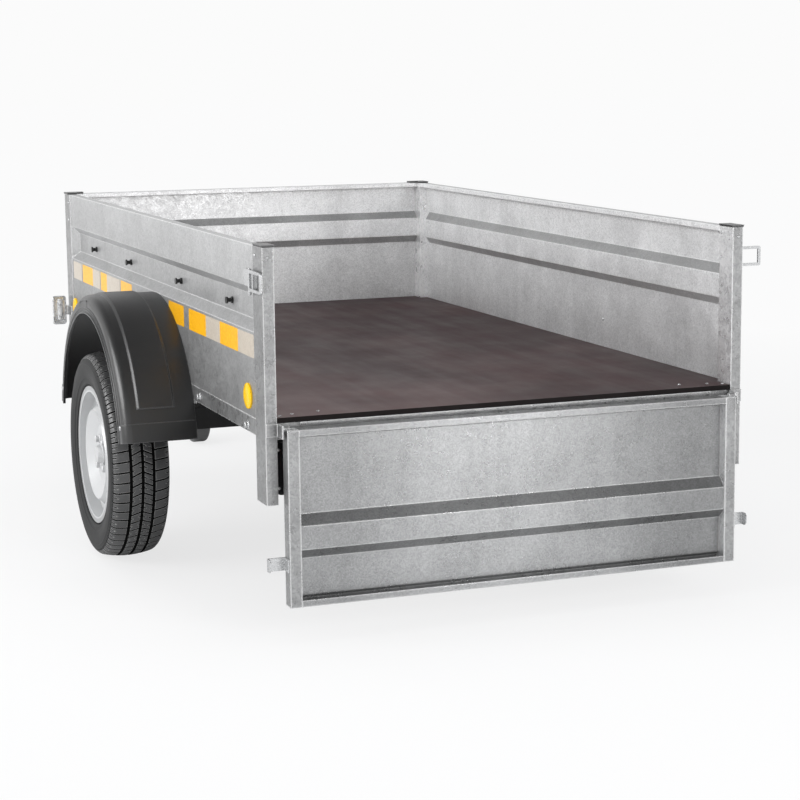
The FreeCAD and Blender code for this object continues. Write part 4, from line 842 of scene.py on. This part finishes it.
def makeGuardTrim(side, hand):
    s = guardSizes
    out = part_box(f"mudguard_{side}")[1 if hand > 0 else 0].y * hand - s["lipIn"]
    end = s["span"] / 2 - s["lineEnd"]
    bm = bmesh.new()
    for rise, wide in s["lines"]:
        sweep(bm, guardArc(hand, s["hem"] + rise, out, -end, end, s["steps"]),
              halfRound(wide, s["lineRise"], s["lineSunk"]))
    reach = math.degrees(s["bossLong"] / 2 / s["bossRadius"])
    half, face = s["bossWide"] / 2, out - s["bossIn"]
    bead = halfRound(*s["bossBead"])
    for edge in (-1, 1):
        sweep(bm, guardArc(hand, s["bossRadius"] + edge * half, face, s["bossAngle"] - reach,
                           s["bossAngle"] + reach, s["bossSteps"]), bead)
        angle = s["bossAngle"] + edge * reach
        radial, tangent = guardRay(angle), guardRay(angle + 90)
        point = guardPoint(radial, s["bossRadius"], hand * face)
        bend = []
        for k in range(s["bendSteps"] + 1):
            turn = math.pi * (k / s["bendSteps"] - 0.5) * edge
            ray = (tangent * edge * math.cos(turn) + radial * math.sin(turn)).normalized()
            bend.append((point + ray * half, ray, leftward * hand))
        sweep(bm, bend, bead)
    makePiece(bm, f"guard_lines_{side}", "black_plastic")

    bm = bmesh.new()
    for angle in s["screwAngles"]:
        head(bm, "pan", guardPoint(guardRay(angle), s["screwRadius"], hand * out), leftward * hand,
             s["screwHead"])
    for angle in s["boltAngles"]:
        point = guardPoint(guardRay(angle), s["boltRadius"], hand * (wallOut + s["boltOut"]))
        bolt(bm, point, leftward * hand, s["boltAcross"], s["boltWasher"], s["boltTwist"])
    makePiece(bm, f"guard_screws_{side}", "zinc_fittings")


for side, hand in sides.items():
    makeGuardTrim(side, hand)
print("mudguard trim")

# Reflective tape along the lower field of the side panels, with beige patches between its blocks as painted
# reflection of the amber glow on the sheet

tapeSizes = {
    "low": 0.637, "high": 0.690, "thick": 0.0004, "corner": 0.003, "edge": 0.0001,
    # the beige blocks are the painted reflection of the amber glow on the sheet
    "blocks": ((2.009, 1.892, "beige"), (1.878, 1.738, "amber"), (1.738, 1.643, "beige"),
               (1.630, 1.551, "amber"), (1.551, 1.387, "beige"), (1.375, 1.243, "amber"),
               (0.837, 0.688, "amber"), (0.639, 0.482, "amber"), (0.482, 0.358, "beige"),
               (0.358, 0.208, "amber"), (0.208, 0.081, "beige")),
}


def makeTapeAndGlow(side, hand):
    s = tapeSizes
    bm = bmesh.new()
    for front, back, kind in s["blocks"]:
        centre = spot((front + back) / 2, hand * wallOut, (s["low"] + s["high"]) / 2)
        outline = roundedBox(front - back, s["high"] - s["low"], s["corner"], 3)
        prism(bm, outline, facing(centre, leftward * hand), s["thick"], s["edge"],
              0 if kind == "amber" else 1)
    makePiece(bm, f"side_tape_and_glow_{side}", "amber_lens", looks=["amber_tape", "amber_glow_patch"])


for side, hand in sides.items():
    makeTapeAndGlow(side, hand)
print("tape")

# Fasteners of the box: rivets at the posts, bolts on the rails, screws in the floor

fastenerSizes = {
    "outerRivets": ((0.054, 0.872), (2.044, 0.868), (2.044, 0.816)), "outerHead": 0.0042,
    "innerRivets": ((0.054, 0.877), (0.054, 0.819)), "innerHead": 0.0036, "hemIn": 0.025,
    "rearRivet": (0.590, 0.870), "rearHead": 0.0034,
    "cornerRivet": (0.0164, 0.8646), "cornerHead": 0.003,
    "panelScrew": (0.737, 0.587), "panelHead": 0.0045, "sheet": 0.002,
    "railBolts": ((0.142, 0.4765), (0.554, 0.4797), (1.420, 0.4797), (1.960, 0.4797)),
    "railAcross": 0.013, "railWasher": 0.011, "railTwist": 0.3,
    "floorScrews": ((0.019, 0.5625), (0.034, 0.529), (0.050, 0.4615)), "floorHead": 0.0038,
}


def makeFasteners():
    s = fastenerSizes
    bm = bmesh.new()
    for hand in sides.values():
        out = leftward * hand
        hem, sheet = hand * (wallOut - s["hemIn"]), hand * (wallOut - s["sheet"])
        for x, z in s["outerRivets"]:
            head(bm, "rivet", spot(x, hand * postOut, z), out, s["outerHead"])
        for x, z in s["innerRivets"]:
            head(bm, "rivet", spot(x, hem, z), -out, s["innerHead"])
        y, z = s["rearRivet"]
        head(bm, "rivet", spot(0, hand * y, z), -forward, s["rearHead"])
        x, z = s["cornerRivet"]
        head(bm, "rivet", spot(x, hem, z), -out, s["cornerHead"])
        x, z = s["panelScrew"]
        head(bm, "pan", spot(x, sheet, z), -out, s["panelHead"])
    makePiece(bm, "box_rivets", "zinc_fittings")

    bm = bmesh.new()
    for hand in sides.values():
        for number, (x, z) in enumerate(s["railBolts"]):
            bolt(bm, spot(x, hand * wallOut, z), leftward * hand, s["railAcross"], s["railWasher"],
                 s["railTwist"] * number)
    makePiece(bm, "rail_bolts", "zinc_fittings")

    bm = bmesh.new()
    for hand in sides.values():
        for x, y in s["floorScrews"]:
            head(bm, "pan", spot(x, hand * y, floorTop), upward, s["floorHead"])
    makePiece(bm, "floor_screws", "zinc_fittings")


makeFasteners()
print("fasteners")

# Chassis fittings: strap and axle bolts, the coupling's bolts, the jack's collars and clamp screw

chassisSizes = {
    "strapX": (0.950, 1.520, 2.080), "strapY": 0.0485, "strapSheet": 0.005,
    "boltAcross": 0.013, "strapWasher": 0.0112, "strapTwist": 0.4,
    "mountPlate": 0.005, "mountBolts": 0.045, "mountIn": 0.020, "mountWasher": 0.0115,
    "mountTwist": 0.3,
    "couplingX": (2.822, 2.878), "headHalf": 0.036, "couplingAcross": 0.017,
    "couplingWasher": 0.0145, "couplingStem": 0.004, "couplingTwists": (0.2, 0.5),
    "collars": ((0.388, 0.014), (0.724, 0.014)),    # lowest point, height
    "collarThick": 0.0022, "collarEdge": 0.0006, "collarSunk": 0.0004,
    "screwR": 0.005, "screwLong": 0.026, "screwSunk": 0.001, "shoulderLong": 0.005,
    "handleR": 0.0035, "handleLong": 0.052, "handleIn": 0.006, "handleLean": (0.8, 0.6),
    "knob": ((-1, 0), (-1, 1.2), (-0.4, 1.7), (0.4, 1.5), (1, 1)),      # in shares of handleR
}


def makeChassisBolts():
    s = chassisSizes
    bm = bmesh.new()
    for number, x in enumerate(s["strapX"]):
        for hand in sides.values():
            bolt(bm, spot(x, hand * s["strapY"], railLow - s["strapSheet"]), -upward,
                 s["boltAcross"], s["strapWasher"], s["strapTwist"] * number)
    axleX, mountOut = middle("axle_mounts").x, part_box("axle_mounts")[1].y
    for hand in sides.values():
        for along in (-1, 1):
            point = Vector((axleX + along * s["mountBolts"], hand * (mountOut - s["mountIn"]),
                            railLow - s["mountPlate"]))
            bolt(bm, point, -upward, s["boltAcross"], s["mountWasher"], s["mountTwist"] + along)
    barZ = middle("drawbar").z
    boltTwist, nutTwist = s["couplingTwists"]
    for x in s["couplingX"]:
        bolt(bm, spot(x, s["headHalf"], barZ), leftward, s["couplingAcross"], s["couplingWasher"],
             boltTwist)
        nut(bm, spot(x, -s["headHalf"], barZ), -leftward, s["couplingAcross"],
            s["couplingWasher"], s["couplingStem"], nutTwist)
    makePiece(bm, "chassis_bolts", "zinc_fittings")


def makeJackFittings():
    s = chassisSizes
    tubeLow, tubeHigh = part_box("jack_outer_tube")
    centre, radius = (tubeLow + tubeHigh) / 2, (tubeHigh.x - tubeLow.x) / 2
    inner, outer, edge = radius - s["collarSunk"], radius + s["collarThick"], s["collarEdge"]
    bm = bmesh.new()
    for z, tall in s["collars"]:
        lathe(bm, [(0, inner), (0, outer - edge), (edge, outer), (tall - edge, outer),
                   (tall, outer - edge), (tall, inner)],
              Matrix.Translation((centre.x, centre.y, z)), 40, ring=True)
    makePiece(bm, "jack_collars", "zinc_fittings")

    bm = bmesh.new()
    start = Vector((centre.x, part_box("jack_clamp")[1].y, middle("drawbar").z))
    r, long, foot, step = s["screwR"], s["screwLong"], -s["screwSunk"], s["shoulderLong"]
    lathe(bm, [(foot, 0), (foot, r * 2), (step, r * 2), (step + 0.001, r), (long, r),
               (long + 0.001, r * 0.8), (long + 0.001, 0)], facing(start, leftward), 20)
    ahead, up = s["handleLean"]
    across = (forward * ahead + upward * up).normalized()
    grip = start + leftward * (long - s["handleIn"]) - across * s["handleLong"] / 2
    r, long = s["handleR"], s["handleLong"]
    knob = [(r * height, r * share) for height, share in s["knob"]]
    lathe(bm, knob + [(long - height, radius) for height, radius in reversed(knob)],
          facing(grip, across), 16)
    makePiece(bm, "jack_clamp_screw", "zinc_fittings")


makeChassisBolts()
makeJackFittings()
print("chassis fittings")

# Tailgate trim: the rolled inner edges of the side channels

gateSizes = {"half": 0.565, "lipIn": 0.027, "top": 0.0055, "low": 0.4015, "face": 0.0186,
             "roll": (0.0026, 0.0011, 0.0006)}


def makeGateTrim():
    # the tailgate hangs at a slight lean: its own axes come from the frame's joint
    s = gateSizes
    joint = next(j for j in frame["joints"] if j["name"] == "tailgate_hinge")
    lean = math.radians(joint["range_deg"][1] - 180)
    down = Vector((math.sin(lean), 0, -math.cos(lean)))
    back = Vector((-math.cos(lean), 0, -math.sin(lean)))
    face = Vector(joint["pos_m"]) + back * s["face"]
    bm = bmesh.new()
    for hand in sides.values():
        edge = face + leftward * hand * (s["half"] - s["lipIn"])
        sweep(bm, straight(edge + down * s["top"], edge + down * s["low"], back),
              halfRound(*s["roll"]))
    makePiece(bm, "gate_trim", "galvanised_steel", "tailgate")


makeGateTrim()
print("tailgate trim")

# Reflectors, tail lamps and marker lamps with their lenses

reflectorSizes = {
    "radius": 0.030,
    # out from the wall and in from the edge, then out from the wall and away from the middle
    "rim": ((0, 0), (0.0030, 0), (0.0042, 0.0008), (0.0046, 0.0030), (0.0056, 0.0042)),
    "dome": ((0.0066, 0.018), (0.0070, 0)),
}


def makeReflectors():
    s = reflectorSizes
    low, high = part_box("side_reflectors")
    profile = [(0, 0)] + [(out, s["radius"] - inward) for out, inward in s["rim"]] + list(s["dome"])
    bm = bmesh.new()
    for hand in sides.values():
        for x in (low.x + s["radius"], high.x - s["radius"]):
            point = Vector((x, hand * wallOut, (low.z + high.z) / 2))
            lathe(bm, profile, facing(point, leftward * hand), 48)
    makePiece(bm, "amber_reflectors", "amber_lens", nodes=["side_reflectors"])


makeReflectors()
print("reflectors")

tailSizes = {
    "wide": 0.190, "rim": 0.012, "sideRim": 0.032, "corner": 0.014, "gap": 0.0012,
    "lensDeep": 0.0062, "lensIn": 0.0006, "lensCorner": 0.004, "round": 0.0028,
    "shares": ((1, 0.36), (2, 0.3), (1, 0.34)),     # material, share of the width
    "looks": ("lamp_housing", "red_lens", "amber_lens", "zinc_fittings"),
    "screwFromSide": 0.008, "screwFromEnd": 0.016,
    "screw": ((0.0, 0), (0.0, 0.0034), (0.0018, 0.0034), (0.0026, 0.00204), (0.0026, 0)),
}


def makeTailLamps():
    # a black box with a lens of three fields: stop and tail, turn signal, rear reflector
    s = tailSizes
    low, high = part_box("tail_lamps")
    wide, tall, thick = s["wide"], high.z - low.z, high.x - low.x - s["lensDeep"]
    lensWide, lensTall = wide - s["rim"] - s["sideRim"], tall - 2 * s["rim"]
    bm = bmesh.new()
    for hand in sides.values():
        centre = Vector((low.x + s["lensDeep"], hand * (high.y - wide / 2), (low.z + high.z) / 2))
        place = facing(centre, -forward)
        prism(bm, roundedBox(wide, tall, s["corner"], 6), place, 0.0, under=thick)
        toOuter = 1 if (place.to_3x3() @ forward).y * hand > 0 else -1
        start = -lensWide / 2 - toOuter * (s["sideRim"] - s["rim"]) / 2
        for tone, share in s["shares"]:
            width = lensWide * share - s["gap"]
            prism(bm, roundedBox(width, lensTall, s["lensCorner"], 4),
                  shifted(place, start + width / 2), s["lensDeep"] - s["lensIn"], s["round"], tone)
            start += width + s["gap"]
        for end in (-1, 1):
            lathe(bm, s["screw"], shifted(place, toOuter * (wide / 2 - s["screwFromSide"]),
                                          end * (tall / 2 - s["screwFromEnd"])), 16, tone=3)
    makePiece(bm, "tail_lamp_pair", "red_lens", looks=s["looks"], nodes=["tail_lamps"])


makeTailLamps()
print("tail lamps")

markerSizes = {
    "wide": 0.043, "plate": 0.003, "corner": 0.008, "base": 0.004, "baseEdge": 0.0008,
    "lensIn": 0.004, "round": 0.0030, "cornerIn": 0.001,
    "carrierIn": 0.002, "rim": 0.0035, "rimEdge": 0.0008, "rimHeights": (-0.0004, 0.0022, 0.003),
    "barPlace": (0.002, 0.002), "barRise": 0.0052, "barSunk": 0.0003, "ridgeSunk": 0.0002,
    "bar": (0.01575, 0.022, 0.005), "barRound": 0.002,      # width, less than the height, corner
    "ridge": (0.00735, 0.034, 0.003), "ridgeRise": 0.0026, "ridgeRound": 0.001,
    "screwPlaces": (0.0145, 0.034), "screwHead": 0.0036,
}


def makeMarkerLamps():
    # a clear lens in front of the plate; behind it the moulded bulb carrier and four screws
    s = markerSizes
    low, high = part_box("marker_lamps")
    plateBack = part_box("marker_brackets")[1].x - s["plate"]
    wide, tall = s["wide"], high.z - low.z
    corner = s["corner"] - s["cornerIn"]
    lenses = bmesh.new()
    for side, hand in sides.items():
        y, z = hand * (high.y - wide / 2), (low.z + high.z) / 2
        place = facing(Vector((low.x, y, z)), forward)
        prism(lenses, roundedBox(wide, tall, s["corner"], 6), place, s["base"], s["baseEdge"])
        prism(lenses, roundedBox(wide - s["lensIn"], tall - s["lensIn"], corner, 6),
              shifted(place, z=s["base"]), high.x - low.x - s["base"], s["round"], 1)

        bm = bmesh.new()
        place = facing(Vector((plateBack, y, z)), -forward)
        outline = roundedBox(wide - s["carrierIn"], tall - s["carrierIn"], corner, 6)
        foot, wall, top = s["rimHeights"]
        section = ((0, foot), (0, wall), (s["rimEdge"], top), (s["rim"] - s["rimEdge"], top),
                   (s["rim"], wall), (s["rim"], foot))
        rows = [[bm.verts.new(place @ Vector((a, b, height))) for a, b in inset(outline, by)]
                for by, height in section]
        joinRows(bm, rows, True, 0)
        across, shorter, cornerR = s["bar"]
        prism(bm, roundedBox(across, tall - shorter, cornerR, 5), shifted(place, *s["barPlace"]),
              s["barRise"], s["barRound"], under=s["barSunk"])
        across, shorter, cornerR = s["ridge"]
        prism(bm, roundedBox(across, tall - shorter, cornerR, 5),
              shifted(place, *s["barPlace"], s["barRise"] - s["ridgeSunk"]), s["ridgeRise"],
              s["ridgeRound"])
        makePiece(bm, f"marker_carrier_{side}", "clear_lens", looks=["lamp_body"])

        bm = bmesh.new()
        a, b = s["screwPlaces"]
        for x, y in ((-a, b), (a, b), (-a, -b), (a, -b)):
            head(bm, "pan", place @ Vector((x, y, 0)), -forward, s["screwHead"])
        makePiece(bm, f"marker_screws_{side}", "zinc_fittings")
    makePiece(lenses, "marker_lens_pair", "clear_lens", looks=["lamp_body", "clear_lens"],
              nodes=["marker_lamps"])


makeMarkerLamps()
print("marker lamps")

# Camera, light and stage

photoView = {"place": (-4.2994, 1.9129, 1.2956), "yaw": -0.36268, "pitch": -0.16434,
             "roll": -0.01029, "lens": 92.25, "sensor": 36.0}


def makeCamera():
    v = photoView
    yaw, pitch, roll = v["yaw"], v["pitch"], v["roll"]
    look = Vector((math.cos(pitch) * math.cos(yaw), math.cos(pitch) * math.sin(yaw), math.sin(pitch)))
    right = look.cross(upward).normalized()
    above = right.cross(look)
    side = right * math.cos(roll) + above * math.sin(roll)
    top = above * math.cos(roll) - right * math.sin(roll)
    turn = Matrix((side, top, -look)).transposed().to_4x4()
    camera = bpy.data.objects.new("photo_camera", bpy.data.cameras.new("photo_camera"))
    camera.data.lens = v["lens"]
    camera.data.sensor_width = v["sensor"]
    camera.matrix_world = Matrix.Translation(spot(*v["place"])) @ turn
    bpy.context.scene.collection.objects.link(camera)
    bpy.context.scene.camera = camera

lightSizes = {
    "left": {"place": (-0.6, 5.4, 2.7), "aim": (0.4, 0, 0.6), "size": (4.6, 2.0), "power": 190},
    "rear": {"place": (-6.4, -1.6, 2.2), "aim": (-0.4, 0.0, 0.6), "size": (2.6, 2.0), "power": 185},
    "front": {"place": (4.8, 2.2, 2.8), "aim": (0.6, 0, 0.6), "size": (3.4, 2.0), "power": 40},
    "top": {"place": (0.0, 0.0, 5.0), "aim": (0.0, 0, 0.0), "size": (5.0, 5.0), "power": 60},
    "strip": {"place": (-4.6, -1.15, 0.75), "aim": (-1.5, 0.1, 0.3), "size": (0.35, 1.3), "power": 14},
}
mirroredLights = ("left", "strip")      # the metal mirrors the room and these two


def makeLights():
    for name, look in lightSizes.items():
        lamp = bpy.data.lights.new(name, "AREA")
        lamp.shape = "RECTANGLE"
        lamp.size, lamp.size_y = look["size"]
        lamp.energy = look["power"]
        place = bpy.data.objects.new(name, lamp)
        place.location = look["place"]
        aim = Vector(look["aim"]) - Vector(look["place"])
        place.rotation_euler = aim.to_track_quat("-Z", "Y").to_euler()
        bpy.context.scene.collection.objects.link(place)
        place.visible_glossy = name in mirroredLights


def mixShaders(tree, share, first, second):
    return addNode(tree, "MixShader", {0: share, 1: first, 2: second})[0]


def makeWorld():
    # white all round and up to a third of the way, then a dim ceiling
    look = {"soft": (0.96, 0.98, 1.0, 1), "softLevel": 0.62,
            "stops": ((0.0, 0.965), (0.3, 0.965), (0.5, 0.7), (0.7, 0.3), (1.0, 0.2))}
    world = bpy.data.worlds.new("studio")
    bpy.context.scene.world = world
    world.use_nodes = True
    tree = world.node_tree
    tree.nodes.clear()
    ramp = tree.nodes.new("ShaderNodeValToRGB")
    for number, (height, level) in enumerate(look["stops"]):
        stop = (ramp.color_ramp.elements[number] if number < 2
                else ramp.color_ramp.elements.new(height))
        stop.position = height
        stop.color = (level, level, level, 1)
    tree.links.new(axisOf(tree, coords(tree, "Generated"), "Z"), ramp.inputs[0])
    soft = addNode(tree, "Background", {"Color": look["soft"], "Strength": look["softLevel"]})[0]
    seen = addNode(tree, "Background", {"Color": ramp.outputs["Color"]})[0]
    path = addNode(tree, "LightPath", {})
    share = calc(tree, "ADD", path["Is Camera Ray"], path["Is Glossy Ray"])
    share = calc(tree, "ADD", share, path["Is Transmission Ray"], clamp=True)
    addNode(tree, "OutputWorld", {"Surface": mixShaders(tree, share, soft, seen)})


def makeStage():
    # a pale floor that keeps the shadow near the trailer and fades to white further out
    look = {"color": (0.86, 0.86, 0.86, 1), "glow": (0.965, 0.965, 0.967, 1), "seen": 0.78,
            "mirrored": 0.1, "nearR": 1.9, "farR": 4.2, "reach": 60.0, "drop": 0.0004}
    material, tree, shader = newMaterial("pale_floor", {
        "Base Color": look["color"], "Roughness": 0.85, "Specular IOR Level": 0.1})
    glow = addNode(tree, "Emission", {"Color": look["glow"]})[0]
    away = addNode(tree, "VectorMath", {0: coords(tree)}, operation="LENGTH")["Value"]
    path = addNode(tree, "LightPath", {})
    shares = []
    for ray, near in (("Is Camera Ray", look["seen"]), ("Is Glossy Ray", look["mirrored"]),
                      ("Is Transmission Ray", look["mirrored"])):
        fade = addNode(tree, "MapRange", {"Value": away, "From Min": look["nearR"],
                                          "From Max": look["farR"], "To Min": near, "To Max": 1.0})
        shares.append(calc(tree, "MULTIPLY", path[ray], fade[0]))
    share = calc(tree, "ADD", calc(tree, "ADD", shares[0], shares[1]), shares[2], clamp=True)
    tree.links.new(mixShaders(tree, share, shader.outputs[0], glow),
                   tree.nodes["Material Output"].inputs["Surface"])
    bm = bmesh.new()
    bmesh.ops.create_circle(bm, cap_ends=True, segments=64, radius=look["reach"])
    mesh = bpy.data.meshes.new("floor")
    bm.to_mesh(mesh)
    bm.free()
    mesh.materials.append(material)
    floor = bpy.data.objects.new("floor", mesh)
    floor.location.z = -look["drop"]
    bpy.context.scene.collection.objects.link(floor)


makeCamera()
makeLights()
makeWorld()
makeStage()
bpy.context.scene.view_settings.view_transform = "Standard"
print("camera, light and stage")
